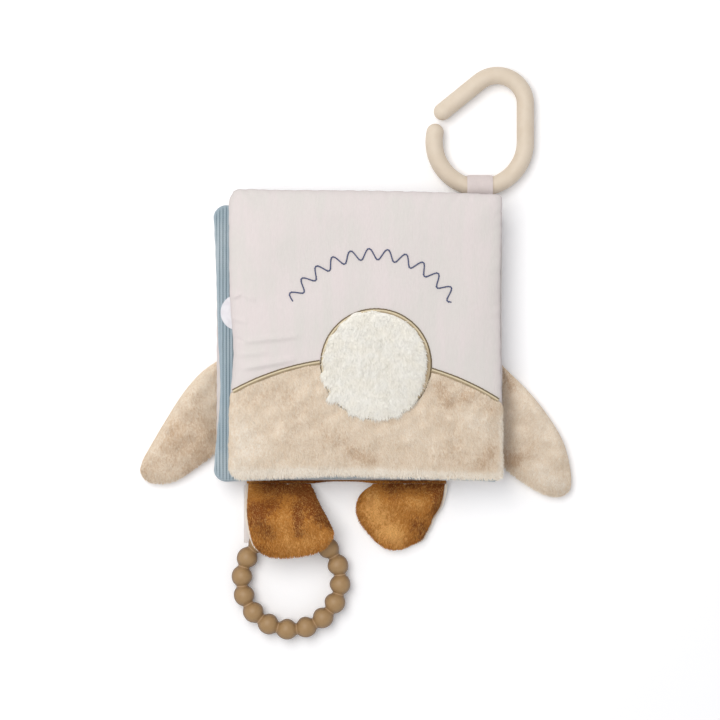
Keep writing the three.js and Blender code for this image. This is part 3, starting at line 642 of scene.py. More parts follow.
def around(count, way=1):
    """Even turns round a closed line, anticlockwise or, with way -1, clockwise."""
    return np.linspace(0, way * 2 * math.pi, count, endpoint=False)


def bake_modifiers(piece):
    """Turns what a piece's modifiers make into its own mesh."""
    shown = piece.evaluated_get(bpy.context.evaluated_depsgraph_get())
    mesh = bpy.data.meshes.new_from_object(shown)
    piece.modifiers.clear()
    piece.data = mesh


def cut_at_hill(piece, operation, radius):
    """Keeps what of a face lies inside or outside the hill's circle."""
    rim = [(hill_x + radius * math.cos(t), hill_y + radius * math.sin(t)) for t in around(CUTTER_SIDES)]
    corners = [(x, y, z) for z in (cover_low.z - CLOTH, cover_high.z + CUTTER_REACH) for x, y in rim]
    lower, upper = range(CUTTER_SIDES), range(CUTTER_SIDES, 2 * CUTTER_SIDES)
    walls = [(k, (k + 1) % CUTTER_SIDES, (k + 1) % CUTTER_SIDES + CUTTER_SIDES, k + CUTTER_SIDES)
             for k in lower]
    cutter = put("hill cutter", bpy.data.meshes.new("hill cutter"))
    cutter.data.from_pydata(corners, [], walls + [tuple(lower)[::-1], tuple(upper)])
    cut = piece.modifiers.new("cut", "BOOLEAN")
    cut.operation, cut.object, cut.solver = operation, cutter, "MANIFOLD"
    bake_modifiers(piece)
    bpy.data.objects.remove(cutter)
    piece.data.set_sharp_from_angle(angle=math.radians(50))
    return piece


cover_low, cover_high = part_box("back_cover_inner_face")
hill_x = cover_high.x - HILL_ACROSS_SHARE * (cover_high.x - cover_low.x)
hill_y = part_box("back_cover_plush_hill")[1].y + GAP / 2 - HILL_RADIUS
cotton_cover, plush_cover = [
    leaf_pad("back_cover_inner_face", "back_cover_cotton_panel", COVER_CURVES, relief, 24,
             draws=COVER_DRAWS, pinches=COVER_PINCHES, top_fall=COVER_TOP_FALL)
    for relief in (cover_cotton, cover_plush)]
panel = sew_face("back_cover_cotton", cotton_cover, 1, cotton, COVER_GRID)
fit(cut_at_hill(panel, "DIFFERENCE", HILL_RADIUS + GAP / 2), "back_cover_cotton_panel")
hill = sew_face("back_cover_hill", plush_cover, 1, plush_ground, COVER_GRID)
fit(cut_at_hill(hill, "INTERSECT", HILL_RADIUS - GAP / 2), "back_cover_plush_hill")
mark_nap_and_shading(hill.data, HILL_NAP_AND_SHADING, COVER_TOP)
fit(sew_face("back_cover_inner_cotton", cotton_cover, -1, cotton), "back_cover_inner_face")


# Pile of the plush: short polyester fibres that stand up from the cloth and lean the way the
# cloth was last stroked, which gives it lighter and darker patches.
PILE_LENGTH, PILE_WIDTH, PILE_PER_M2 = 2.1 * MM, 0.42 * MM, 6.2e6
PILE_SWIRL = 11 * MM


def growth_tree(name, numbers, vectors=()):
    """An empty Geometry Nodes tree with named inputs, and a dictionary of what they give."""
    tree = bpy.data.node_groups.new(name, "GeometryNodeTree")
    tree.interface.new_socket("Geometry", in_out="OUTPUT", socket_type="NodeSocketGeometry")
    kinds = {"Geometry": "Geometry", "Finish": "Material", "Seed": "Int",
             **dict.fromkeys(numbers, "Float"), **dict.fromkeys(vectors, "Vector")}
    for label, kind in kinds.items():
        tree.interface.new_socket(label, in_out="INPUT", socket_type=f"NodeSocket{kind}")
    nodes = Nodes(tree)
    given = nodes.node("NodeGroupInput")
    return nodes, {label: given.beside(label) for label in kinds}


def end_tree(nodes, geometry, finish, smooth=True):
    """Ends a tree in Realize Instances and Set Material."""
    real = nodes.node("GeometryNodeRealizeInstances", {"Geometry": geometry})
    shaded = nodes.node("GeometryNodeSetShadeSmooth", {"Geometry": real, "Shade Smooth": smooth})
    dressed = nodes.node("GeometryNodeSetMaterial", {"Geometry": shaded, "Material": finish})
    nodes.node("NodeGroupOutput", {"Geometry": dressed})


def grow(name, source_mesh, nodes, finish, values):
    """A piece that a tree grows on a mesh, with the tree's inputs set by name."""
    piece = put(name, source_mesh)
    modifier = piece.modifiers.new("growth", "NODES")
    modifier.node_group = nodes.tree
    values = {**values, "Finish": finish.material}
    for item in nodes.tree.interface.items_tree:
        if item.in_out == "INPUT" and item.name in values:
            modifier[item.identifier] = values[item.name]
    bake_modifiers(piece)
    return piece


def chance(nodes, low, high, seed):
    """A random number for each point."""
    return nodes.node("FunctionNodeRandomValue", {2: low, 3: high, "Seed": seed}, 1)


def tag(nodes, geometry, name, value, domain="POINT"):
    """Stores a number with a geometry, for its finish."""
    return nodes.node("GeometryNodeStoreNamedAttribute",
                      {"Geometry": geometry, "Name": name, "Value": value}, domain=domain)


pile, given = growth_tree("plush pile", (
    "Per Square Metre", "Fibre Length", "Fibre Width", "Swirl", "Swirl Size", "Tousle"), ("Facing", "Stroke"))


def vectors(operation, first, second, slot=1):
    return pile.node("ShaderNodeVectorMath", {0: first, slot: second}, operation=operation)


facing = vectors("DOT_PRODUCT", pile.node("GeometryNodeInputNormal"), given["Facing"]).beside("Value")
outside = pile.node("FunctionNodeCompare", {0: facing, 1: 0.05}, operation="GREATER_THAN")
roots = pile.node("GeometryNodeDistributePointsOnFaces", {
    "Mesh": given["Geometry"], "Selection": outside, "Density": given["Per Square Metre"],
    "Seed": given["Seed"]})
fibre = pile.node("GeometryNodeMeshCone", {
    "Vertices": 3, "Radius Top": 0.0, "Radius Bottom": given["Fibre Width"] * 0.5,
    "Depth": given["Fibre Length"]}, fill_type="NONE")
place = pile.node("GeometryNodeInputPosition")
reach = pile.node("ShaderNodeSeparateXYZ", {0: place}, 2) / given["Fibre Length"]
rolled = pile.node("GeometryNodeTransform", {"Geometry": fibre, "Rotation": (0, 0, math.pi / 6)})
swirls = pile.node("ShaderNodeTexNoise", {"Vector": place, "Scale": 1.0 / given["Swirl Size"],
                                          "Detail": 4.0, "Roughness": 0.62}, "Color")
swirled = vectors("SCALE", vectors("SUBTRACT", swirls, (0.5, 0.5, 0.5)), given["Swirl"], "Scale")
tousle = pile.node("FunctionNodeRandomValue", {
    "Min": (-0.5, -0.5, -0.1), "Max": (0.5, 0.5, 0.3), "Seed": given["Seed"]}, data_type="FLOAT_VECTOR")
way = roots.beside("Normal")
for lean in (given["Stroke"], swirled, vectors("SCALE", tousle, given["Tousle"], "Scale")):
    way = vectors("ADD", way, lean)
turned = pile.node("FunctionNodeAlignRotationToVector", {"Vector": way}, axis="Z")
turned = pile.node("FunctionNodeAlignRotationToVector",
                   {"Rotation": turned, "Vector": roots.beside("Normal")}, axis="Y", pivot_axis="Z")
fibres = pile.node("GeometryNodeInstanceOnPoints", {
    "Points": roots, "Instance": tag(pile, rolled, "reach", reach), "Rotation": turned,
    "Scale": chance(pile, 0.7, 1.1, given["Seed"] + 1)})
tones = chance(pile, 0.0, 1.0, given["Seed"] + 2)
end_tree(pile, tag(pile, fibres, "tone", tones, "INSTANCE"), given["Finish"], smooth=False)


def pile_finish(name, shades, *pattern):
    """Fibres: painted shade toward the root, some paler than others, and in the same patches as the ground.
    """
    made = Finish(name, 0.8, 0.3, 0.2, shades[2])
    tint = plush_tint(made, shades, *pattern)
    # Painted shade: each fibre darkens toward its root.
    root_shade = made.mix(made.attribute("reach").between(0.5, 0.0) * 0.5, tint, shades[0])
    made.paint(made.mix(made.attribute("tone").between(0.5, 1.0) * 0.5, root_shade, shades[2]))
    return made


def grow_pile(name, cloth, node, finish, stroke, swirl, tousle, seed, length=PILE_LENGTH,
              width=PILE_WIDTH, per_m2=PILE_PER_M2, swirl_size=PILE_SWIRL, facing=(0, 0, 1)):
    """Grows a pile on a cloth piece and puts it beside that piece on its body."""
    grown = grow(name, cloth.data, pile, finish, {
        "Per Square Metre": per_m2, "Fibre Length": length, "Fibre Width": width, "Facing": facing,
        "Stroke": stroke, "Swirl": swirl, "Swirl Size": swirl_size, "Tousle": tousle, "Seed": seed})
    fit(grown, node, body=frame["nodes"][node]["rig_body"])


beige_fibre = pile_finish("beige pile", *BEIGE)
grow_pile("back_cover_hill_pile", hill, "back_cover_plush_hill", beige_fibre, (1.0, -2.8, 0), 3.6, 2.2, 5)


# Fleece tail: a round of white sherpa sewn inside a satin ring. Its curled pile hides the
# cloth under it and spills over the ring at the left and along the bottom.
TAIL_DOME, TAIL_BULK, TAIL_OVER = 1.9 * MM, 0.5 * MM, 0.5 * MM
TAIL_DRAWN, TAIL_DRAWN_AT, TAIL_DRAWN_SPREAD = 1.2 * MM, -0.25, 0.65
TAIL_RINGS, TAIL_SPOKES = 26, 110
FLEECE_LUMP, FLEECE_LUMP_HEIGHT, LEAST_FLEECE = 4.2 * MM, 0.12 * MM, 0.2 * MM
TUFT_PER_M2, TUFT_LENGTH, TUFT_WIDTH, TUFT_CURL = 7.0e6, 2.8 * MM, 0.55 * MM, 4.5 * MM
SPILL, SPILL_SPREAD = 2.3 * MM, 0.3
SPILL_SIDES = ((-2.55, 1.0), (-1.9, 0.8), (-1.25, 1.0), (-0.75, 0.7), (1.95, 1.0), (2.6, 0.3), (-3.0, 0.6))


def on_cover(x, y, lift):
    """Points at a height over the back cover's cotton."""
    return np.column_stack([x, y, cotton_cover.height(1, x, y) + lift])


def near_turn(turns, at, spread):
    """1 at one turn, fading to 0 on both sides of it."""
    return np.exp(-(((turns - at + math.pi) % (2 * math.pi) - math.pi) / spread) ** 2)


def skin(name, rings, finish, looped=False, crease=60):
    """A closed surface through rings of points; its ends are closed by fans."""
    count, spokes = len(rings), len(rings[0])
    points = [*np.concatenate(rings)]
    index = np.arange(count * spokes).reshape(count, spokes)
    faces = []
    for near in range(count if looped else count - 1):
        a, b = index[near], index[(near + 1) % count]
        faces += [*np.stack([a, np.roll(a, -1), np.roll(b, -1), b], axis=1)]
    if not looped:
        for ring, step in ((index[0], -1), (index[-1], 1)):
            points.append(np.mean([points[k] for k in ring], axis=0))
            faces += [(a, b, len(points) - 1)[::step] for a, b in zip(ring, np.roll(ring, -1))]
    piece = new_piece(name, points, faces, finish, crease)
    shape = bmesh.new()
    shape.from_mesh(piece.data)
    bmesh.ops.recalc_face_normals(shape, faces=shape.faces)
    shape.to_mesh(piece.data)
    shape.free()
    return piece


fleece = Finish("white fleece", 0.95, 0.15, 0.1)
fleece.paint(fleece.clouds(7 * MM, 0.35, display(254, 251, 243), display(255, 253, 247)))
(tail_x, tail_y), (tail_radius, _) = plan_of(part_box("tail_sherpa_disc"))
turns = around(TAIL_SPOKES)
spill = sum(size * near_turn(turns, at, SPILL_SPREAD) for at, size in SPILL_SIDES)
spill = SPILL * np.clip(spill, 0, 1.1) * (0.8 + 0.45 * seam_waves(turns / (2 * math.pi), 20, 51))
drawn_in = TAIL_DRAWN * near_turn(turns, TAIL_DRAWN_AT, TAIL_DRAWN_SPREAD)
rings = []
for share in np.arange(1, TAIL_RINGS + 1) / TAIL_RINGS:
    radius = share * (tail_radius + TAIL_OVER - drawn_in + spill * share ** 6)
    x, y = tail_x + radius * np.cos(turns), tail_y + radius * np.sin(turns)
    lump = FLEECE_LUMP_HEIGHT * (1 - share ** 6) * ripples(x, y, FLEECE_LUMP, 52)
    bulk = TAIL_BULK + TAIL_DOME * (1 - share ** 3.2) ** 0.6 + lump
    rings.append(on_cover(x, y, GAP + np.maximum(bulk, LEAST_FLEECE)))
for share in (1.0, 0.5):
    rings.append(on_cover(tail_x + share * (x - tail_x), tail_y + share * (y - tail_y), GAP))
tail = skin("tail_fleece", rings, fleece, crease=70)
fit(tail, "tail_sherpa_disc")
grow_pile("tail_fleece_tufts", tail, "tail_sherpa_disc", fleece, (0.2, -2.9, 0), 2.6, 3.8, 8,
          TUFT_LENGTH, TUFT_WIDTH, TUFT_PER_M2, TUFT_CURL)


# Satin stitch: lustrous thread laid side by side across the hill's edge and round the tail,
# over a low core, so that it stands up as a cord. Its colour has painted light and shade: a
# highlight on the crest, and shade where it dives into the cotton.
THREAD, THREAD_PITCH, THREAD_UNEVEN = 0.2 * MM, 0.36 * MM, 0.07
STITCH_RISE, PATH_STEP = 1.15 * MM, 1.0 * MM
# The tail ring's right side, where the ring stands in shade, gets painted shade over its highlight.
SHADED_SIDE_WAY, SHADED_SIDE_FROM, SHADED_SIDE_TO, SIDE_SHADE = (0.96, 0.28), 0.82, 0.96, 0.8


def thread_finish(name, worn):
    """Satin thread: a painted highlight on its crest, and painted shade where it dives in. On the
    tail ring's right side, where the ring stands in shade, the highlight is painted dull."""
    made = Finish(name, 0.42, 0.5, 0.1)
    across = made.attribute("across")
    twist = made.noise(0.6 * MM, detail=1.0).between(0.3, 0.7) * 0.5
    inner = made.mix(twist, display(186, 166, 134), display(166, 146, 114))
    # Painted highlight along the crest of each stitch.
    crest_highlight = across.between(0.68, 0.48)
    if worn:
        x = made.node("ShaderNodeSeparateXYZ", {0: made.place})
        right = (x - tail_x) * SHADED_SIDE_WAY[0] - (x.beside(1) - tail_y) * SHADED_SIDE_WAY[1]
        # Painted shade dulls the highlight on the tail ring's right side.
        crest_highlight = crest_highlight * (1 - right.between(SHADED_SIDE_FROM * tail_radius, SHADED_SIDE_TO * tail_radius) * SIDE_SHADE)
    bright = made.mix(crest_highlight, inner, display(233, 219, 188))
    # Painted shade where the thread dives into the cotton.
    made.paint(made.mix(across.between(0.34, 0.16), bright, display(112, 92, 56)))
    return made


def stitch_tree(name, axis, steps, spokes, uneven):
    """A tree that lays one stitch again and again along a line. The stitch rises from the cloth and
    dives in again, and each is up to uneven larger or smaller than the next."""
    nodes, given = growth_tree(name, ("Pitch", "Length", "Rise", "Thread"))
    half = given["Length"] * 0.5
    start, middle, end = [nodes.node("ShaderNodeCombineXYZ", {0: x, 2: z})
                          for x, z in ((half * -1.0, 0.0), (0.0, given["Rise"]), (half, 0.0))]
    bow = nodes.node("GeometryNodeCurveQuadraticBezier",
                     {"Resolution": steps, "Start": start, "Middle": middle, "End": end})
    section = nodes.node("GeometryNodeCurvePrimitiveCircle",
                         {"Resolution": spokes, "Radius": given["Thread"]})
    bowed = nodes.node("GeometryNodeCurveToMesh", {"Curve": bow, "Profile Curve": section, "Fill Caps": True})
    x = nodes.node("ShaderNodeSeparateXYZ", {0: nodes.node("GeometryNodeInputPosition")})
    line = nodes.node("GeometryNodeMeshToCurve", {"Mesh": given["Geometry"]})
    even = nodes.node("GeometryNodeResampleCurve", {"Curve": line, "Length": given["Pitch"]}, mode="LENGTH")
    turned = nodes.node("FunctionNodeAlignRotationToVector",
                        {"Vector": nodes.node("GeometryNodeInputTangent")}, axis=axis, pivot_axis="Z")
    laid = nodes.node("GeometryNodeInstanceOnPoints", {
        "Points": even, "Instance": tag(nodes, bowed, "across", x / given["Length"] + 0.5),
        "Rotation": turned, "Scale": chance(nodes, 1 - uneven, 1 + uneven, given["Seed"])})
    end_tree(nodes, laid, given["Finish"])
    return nodes


def cover_path(name, x, y, lift, closed=False):
    """A line of edges that lies on the back cover."""
    points = on_cover(x, y, lift)
    edges = [(k, k + 1) for k in range(len(points) - 1)] + ([(len(points) - 1, 0)] if closed else [])
    mesh = bpy.data.meshes.new(name)
    mesh.from_pydata(points.tolist(), edges, [])
    return mesh


def satin_stitch(name, path, finish, node, seed):
    """Covers a path with satin stitches as wide as the tail's ring."""
    sizes = {"Pitch": THREAD_PITCH, "Length": ring_width, "Rise": STITCH_RISE, "Thread": THREAD}
    fit(grow(name, path, satin_stitches, finish, {**sizes, "Seed": seed}), node)


satin_stitches = stitch_tree("satin stitch", "Y", 7, 5, THREAD_UNEVEN)
thread = thread_finish("gold satin thread", False)
ring_thread = thread_finish("gold satin thread of the tail", True)
ring_reach = plan_of(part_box("tail_satin_stitch"))[1][0]
ring_width = ring_reach - tail_radius - GAP
ring_middle = ring_reach - ring_width / 2
turns = around(220, -1)
ring_path = cover_path("tail ring path", tail_x + ring_middle * np.cos(turns),
                       tail_y + ring_middle * np.sin(turns), GAP, closed=True)
satin_stitch("tail_ring_threads", ring_path, ring_thread, "tail_satin_stitch", 61)
for node in ("hill_stitch_left", "hill_stitch_right"):
    low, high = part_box(node)
    x = np.linspace(low.x, high.x, int((high.x - low.x) / PATH_STEP))
    y = hill_y + np.sqrt(HILL_RADIUS ** 2 - (x - hill_x) ** 2)
    satin_stitch(f"{node}_threads", cover_path(f"{node} path", x, y, GAP), thread, node, 62)


# Running stitch: a plain wave of navy thread embroidered in an arc over the tail. Each stitch
# overlaps the next, so that they read as one cord.
WAVE_PIXELS = ((292, 300), (374, 254), (453, 300))
WAVE_HEIGHT, WAVE_LENGTH = 2.9 * MM, 9.6 * MM
NAVY_PITCH, NAVY_STITCH, NAVY_THREAD, NAVY_RISE = 1.15 * MM, 1.5 * MM, 0.34 * MM, 0.748 * MM
NAVY_LIFT, NAVY_POINTS = 0.12 * MM, 900

navy = Finish("navy thread", 0.55, 0.35, 0.1)
navy.paint(navy.clouds(0.5 * MM, 0.3, display(58, 66, 102), display(84, 92, 126), detail=1.0))
running_stitch = stitch_tree("running stitch", "X", 8, 8, 0.0)

a, b, c = [seen_at(*pixel, COVER_TOP) for pixel in WAVE_PIXELS]
arc_centre = np.linalg.solve(np.array([b - a, c - a]), np.array([b @ b - a @ a, c @ c - a @ a]) / 2)
arc_radius = np.linalg.norm(a - arc_centre)
start, stop = [math.atan2(*(end - arc_centre)[::-1]) for end in (a, c)]
turns = np.linspace(start, stop, NAVY_POINTS)
swing = arc_radius + WAVE_HEIGHT * np.sin(2 * math.pi * (start - turns) * arc_radius / WAVE_LENGTH)
wave = cover_path("navy path", arc_centre[0] + swing * np.cos(turns),
                  arc_centre[1] + swing * np.sin(turns), NAVY_LIFT)
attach(grow("navy_running_stitch", wave, running_stitch, navy, {
    "Pitch": NAVY_PITCH, "Length": NAVY_STITCH, "Rise": NAVY_RISE, "Thread": NAVY_THREAD}), "back_cover")


# Satin tab: a padded round of white satin, two layers sewn together and turned. It is sewn to
# the rib leaf and half hidden by the back cover.
TAB_RINGS, TAB_SPOKES = 14, 64
TAB_EDGE, TAB_UNDER, TAB_DOME = 0.45 * MM, 0.05 * MM, 0.42 * MM

satin = Finish("white satin", 0.45, 0.45, 0.1)
satin.paint(satin.clouds(4 * MM, 0.35, display(228, 225, 230), display(235, 233, 237), detail=1.0))
satin.relief(satin.stripes(0.4 * MM, "Y") * 0.5 + satin.noise(1.6 * MM, (1, 3, 1)), 0.06 * MM)
(tab_x, tab_y), (tab_radius, _) = plan_of(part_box("white_satin_tab"))
turns = around(TAB_SPOKES)
rings = []
for step in [*range(1, TAB_RINGS + 1), *range(-TAB_RINGS, 0)]:
    share = abs(step) / TAB_RINGS
    x, y = tab_x + share * tab_radius * np.cos(turns), tab_y + share * tab_radius * np.sin(turns)
    swell = TAB_EDGE + TAB_DOME * (1 - share ** 4) ** 0.6 if step > 0 else TAB_UNDER
    rings.append(np.column_stack([x, y, rib_pad.height(1, x, y) + GAP + swell]))
fit(skin("satin_tab", rings, satin), "white_satin_tab")


# Wings and feet: each is a stuffed limb of two faces, its plush upper and its lining, sewn by
# its straight side into the front cover's seam, and thin there.
LIMB_CURVE, LIMB_FLOOR_CURVE = (4, 0.55), (9, 0.5)
LIMB_SEAM_SHARE = 0.06
LIMB_POINTS, LIMB_GRID = 90, 90
PILE_ROOM, LINING_ROOM, LIMB_PILE = 0.7 * MM, -0.9 * MM, 1.7 * MM
AT_SEAM = 0.05 * MM
LIMB_LUMP, LIMB_LUMP_HEIGHT, LIMB_HALF_WIDTH = 13 * MM, 0.32 * MM, 20 * MM
LIMB_PUCKER, LIMB_PUCKER_REACH, LIMB_PUCKERS = 0.12 * MM, 3 * MM, 24
FOOT_LIFT, FOOT_LIFT_LENGTH, LIFTED_FALL_SHARE = 14.2 * MM, 20 * MM, 0.9
LIMB_TOP = 0.015
RUST = ((display(126, 67, 20), display(194, 129, 54), display(240, 186, 110)), 6 * MM, 1.6 * MM, 2.2)

rust_ground = plush_ground_finish("rust plush ground", *RUST)
rust_fibre = pile_finish("rust pile", *RUST)
LINING = display(246, 237, 222)
lining = cotton_finish("lining cotton", LINING, display(240, 231, 216), LINING)

# For each limb: the way it points, how far its seam is tucked in, how far out it swells, its seed,
# the room for the pile at its toes and at the side where its lining shows, that side, the way the
# nap was stroked, and its finishes.
LIMBS = {
    "left_wing": ((-1, 0), -0.4 * MM, 20 * MM, 71, 0.0, 0.0, (0, 0), (0.9, -2.6, 0),
                  (plush_ground, beige_fibre, plush_ground)),
    "right_wing": ((1, 0), -0.9 * MM, 20 * MM, 72, 0.0, 0.0, (0, 0), (-0.9, -2.6, 0),
                   (plush_ground, beige_fibre, plush_ground)),
    "left_foot": ((0, -1), 0.95 * MM, 12 * MM, 73, 1.4 * MM, 0.5 * MM, (-0.95, 0.3), (0.6, -2.4, 0),
                  (rust_ground, rust_fibre, lining)),
    "right_foot": ((0, -1), 0.85 * MM, 12 * MM, 74, 0.4 * MM, 0.7 * MM, (1, -0.3), (-0.9, -2.3, 0),
                   (rust_ground, rust_fibre, lining))}
LIMB_PINCHES = {"right_foot": (((439, 519), 5.0 * MM, 1.5 * MM), ((421, 538), 4.5 * MM, -1.7 * MM))}
# Strokes at the wings' roots and along the feet's tops are painted shade and light where the book meets them;
# the rest are the nap's patches.
LIMB_NAP_AND_SHADING = {
    "left_wing": [
        (168, 425, 168, 440, 14, 0.3), (195, 445, 210, 430, 18, 0.5), (186, 470, 208, 456, 9, 0.4),
        (150, 465, 200, 400, 34, 0.4), (150, 450, 190, 380, 6, -0.3), (207, 380, 215, 420, 9, -0.5)],
    "right_wing": [
        (508, 459, 514, 462, 6, 1.2), (512, 458, 530, 455, 6, 0.5), (506, 372, 512, 385, 7, 0.6),
        (530, 395, 565, 450, 12, -0.2), (540, 470, 562, 487, 10, -0.5), (504, 400, 506, 440, 6, -0.2)],
    "left_foot": [
        (268, 484, 312, 487, 10, 1.1), (306, 492, 322, 516, 9, 1.2), (328, 514, 331, 526, 5, 0.8),
        (254, 508, 274, 506, 9, 0.9), (258, 520, 268, 530, 9, 0.8), (297, 508, 299, 532, 6, 1.1),
        (258, 546, 268, 552, 6, 0.5), (254, 490, 260, 498, 7, -0.2), (280, 514, 286, 538, 12, -0.2),
        (296, 542, 328, 536, 10, -0.3)],
    "right_foot": [
        (388, 482, 394, 498, 8, 0.35), (392, 482, 440, 484, 9, 0.8), (440, 488, 434, 512, 7, 0.65),
        (418, 524, 424, 536, 9, 0.7), (396, 536, 402, 546, 8, -0.5), (359, 486, 361, 500, 5, 0.6),
        (372, 506, 388, 530, 14, -0.8), (412, 500, 424, 508, 8, -0.3)]}


def smooth_line(points, steps):
    """A smooth line through chosen points."""
    p = np.concatenate([[2 * points[0] - points[1]], points, [2 * points[-1] - points[-2]]])
    t = np.linspace(0, 1, steps, endpoint=False)[:, None]
    parts = [0.5 * (2 * b + (c - a) * t + (2 * a - 5 * b + 4 * c - d) * t ** 2
                    + (3 * b - a - 3 * c + d) * t ** 3) for a, b, c, d in zip(p, p[1:], p[2:], p[3:])]
    return np.concatenate([*parts, points[-1:]])


def hull(points):
    """The outer corners of a set of places, anticlockwise."""
    points = sorted(set(map(tuple, np.round(points, 7))))

    def chain(row):
        kept = []
        for p in row:
            while len(kept) > 1 and np.cross(np.subtract(kept[-1], kept[-2]), np.subtract(p, kept[-1])) <= 0:
                kept.pop()
            kept.append(p)
        return kept[:-1]
    return np.array(chain(points) + chain(points[::-1]))


def joint_place(name):
    return next(joint for joint in frame["joints"] if joint["name"] == name)["pos_m"]


def limb_sides(name, out, tuck, toe_room, side_room, shows):
    """The seam line of a limb in four sides, the last of them the straight one at the book, tucked
    toward it. It keeps room for the pile, more at the toes and where the lining shows."""
    corners = hull(np.array([v.co[:2] for v in frame["nodes"][f"{name}_plush"].data.vertices]))
    corners[corners @ out < (corners @ out).min() + AT_SEAM] -= tuck * out
    start = (corners @ out).min()
    free = np.flatnonzero(corners @ out >= start + AT_SEAM)
    first = free[np.flatnonzero(np.diff(np.append(free, free[0] + len(corners))) > 1)[0]]
    line = np.roll(corners, -(first + 1), axis=0)
    held = line @ out < start + AT_SEAM
    curve = smooth_line(np.concatenate([line[held][-1:], line[~held], line[held][:1]]), 12)
    curve = resample(curve, 3 * LIMB_POINTS)
    inward = inward_of(curve)
    room = PILE_ROOM + toe_room * np.clip(-inward @ out, 0, 1) ** 2
    room = room + side_room * np.clip(-inward @ np.array(shows), 0, 1) ** 0.5
    for pixel, size, depth in LIMB_PINCHES.get(name, ()):
        room = room + depth * np.exp(-(np.linalg.norm(curve - seen_at(*pixel), axis=1) / size) ** 2)
    curve += inward * room[:, None]
    curve[[0, -1]] -= np.outer(curve[[0, -1]] @ out - start, out)
    straight = resample(np.array([curve[-1], curve[0]]), LIMB_POINTS)
    return [curve[:LIMB_POINTS + 1], curve[LIMB_POINTS:2 * LIMB_POINTS + 1],
            curve[2 * LIMB_POINTS:], straight]


def lumpy(seed):
    """The lumps of loose stuffing, and the puckers that the seam draws into a limb."""
    def relief(side, x, y, share, turn):
        inside = (1 - share) * LIMB_HALF_WIDTH
        lumps = LIMB_LUMP_HEIGHT * (1 - share ** 6) * ripples(x, y, LIMB_LUMP, seed + side)
        puckers = LIMB_PUCKER * np.exp(-inside / LIMB_PUCKER_REACH)
        return lumps + puckers * seam_waves(turn, LIMB_PUCKERS, seed)
    return relief


def limb_pad(name, out, tuck, swell, seed, toe_room, side_room, shows):
    """The pad of a limb. The left foot is lifted, as it lies on the strap and the ring."""
    sides = limb_sides(name, np.array(out), tuck, toe_room, side_room, shows)
    seam, lifted = joint_place(f"{name}_swing")[2], name == "left_foot"
    start = (sides[3] @ np.array(out)).min()
    top = FOOT_LIFT if lifted else 0.0

    def share_out(x, y, length):
        return np.minimum(1, np.maximum(0, x * out[0] + y * out[1] - start) / length)

    def taper(x, y):
        return LIMB_SEAM_SHARE + (1 - LIMB_SEAM_SHARE) * np.sin(share_out(x, y, swell) * math.pi / 2)

    def lift(x, y):
        t = share_out(x, y, FOOT_LIFT_LENGTH)
        return top * t * t * (3 - 2 * t)

    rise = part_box(f"{name}_plush")[1].z - seam - top
    fall = rise * LIFTED_FALL_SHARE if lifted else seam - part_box(f"{name}_lining")[0].z
    curves = {-1: LIMB_CURVE if lifted else LIMB_FLOOR_CURVE, 1: LIMB_CURVE}
    return Pad(sides, seam, fall, rise, curves, lumpy(seed), taper, lift)


limb_pads = {}
for name, (out, tuck, swell, seed, toe_room, side_room, shows, stroke, finishes) in LIMBS.items():
    made = (name, out, tuck, swell, seed, toe_room)
    limb_pads[name] = limb_pad(*made, side_room, shows)
    under_pad = limb_pad(*made, LINING_ROOM * any(shows), shows)
    upper = sew_face(f"{name}_upper", limb_pads[name], 1, finishes[0], LIMB_GRID)
    mark_nap_and_shading(upper.data, LIMB_NAP_AND_SHADING[name], LIMB_TOP)
    fit(upper, f"{name}_plush")
    fit(sew_face(f"{name}_under", under_pad, -1, finishes[2], LIMB_GRID), f"{name}_lining")
    grow_pile(f"{name}_pile", upper, f"{name}_plush", finishes[1], stroke, 4.0, 1.0, seed, LIMB_PILE)


# Feet band: a folded strip of rust plush along the bottom edge, which the feet, the strap and the
# label are sewn to.
BAND_RINGS, BAND_SPOKES = 120, 28
BAND_PILE_ROOM, BAND_PILE = 0.4 * MM, 0.9 * MM
BAND_LEFT, BAND_RIGHT = 0.3 * MM, 1.1 * MM
BAND_SAG, BAND_SAG_WAVE = 0.25 * MM, 17 * MM
BAND_LEAST, BAND_DRAW, BAND_DRAWN_AT, BAND_DRAWN_REACH = 0.8 * MM, 2.1 * MM, -7 * MM, 14 * MM
# The band's strokes are painted shade under the cover's edge.
BAND_NAP_AND_SHADING = [
    (262, 483, 318, 483, 10, 0.9), (330, 483, 360, 483, 14, 0.3), (395, 483, 442, 483, 12, 0.6)]


def bar_round(count, power):
    """Across and up round a bar whose edges are rounded, from -1 to 1."""
    return [np.sign(part) * abs(part) ** power for part in (np.cos(around(count)), np.sin(around(count)))]


low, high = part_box("feet_band")
bar_y, bar_z = bar_round(BAND_SPOKES, 0.6)
rings = []
for x in np.linspace(low.x + BAND_LEFT, high.x - BAND_RIGHT, BAND_RINGS):
    sag = BAND_SAG * ripples(np.array([x]), np.zeros(1), BAND_SAG_WAVE, 81)[0]
    fade = math.exp(-((x - BAND_DRAWN_AT) / BAND_DRAWN_REACH) ** 4)
    drawn = BAND_LEAST + (BAND_DRAW - BAND_LEAST) * fade
    half_y, half_z = [(high[k] - low[k]) / 2 - BAND_PILE_ROOM for k in (1, 2)]
    y = (high.y + low.y + drawn) / 2 + (half_y - drawn / 2) * bar_y
    rings.append(np.column_stack([np.full(BAND_SPOKES, x), y, (high.z + low.z) / 2 + (half_z + sag) * bar_z]))
band = skin("feet_band_cloth", rings, rust_ground, crease=70)
mark_nap_and_shading(band.data, BAND_NAP_AND_SHADING, LIMB_TOP)
fit(band, "feet_band")
grow_pile("feet_band_pile", band, "feet_band", rust_fibre, (1.5, -1.2, 0), 3.0, 1.0, 82, BAND_PILE,
          facing=(0, -0.6, 0.8))


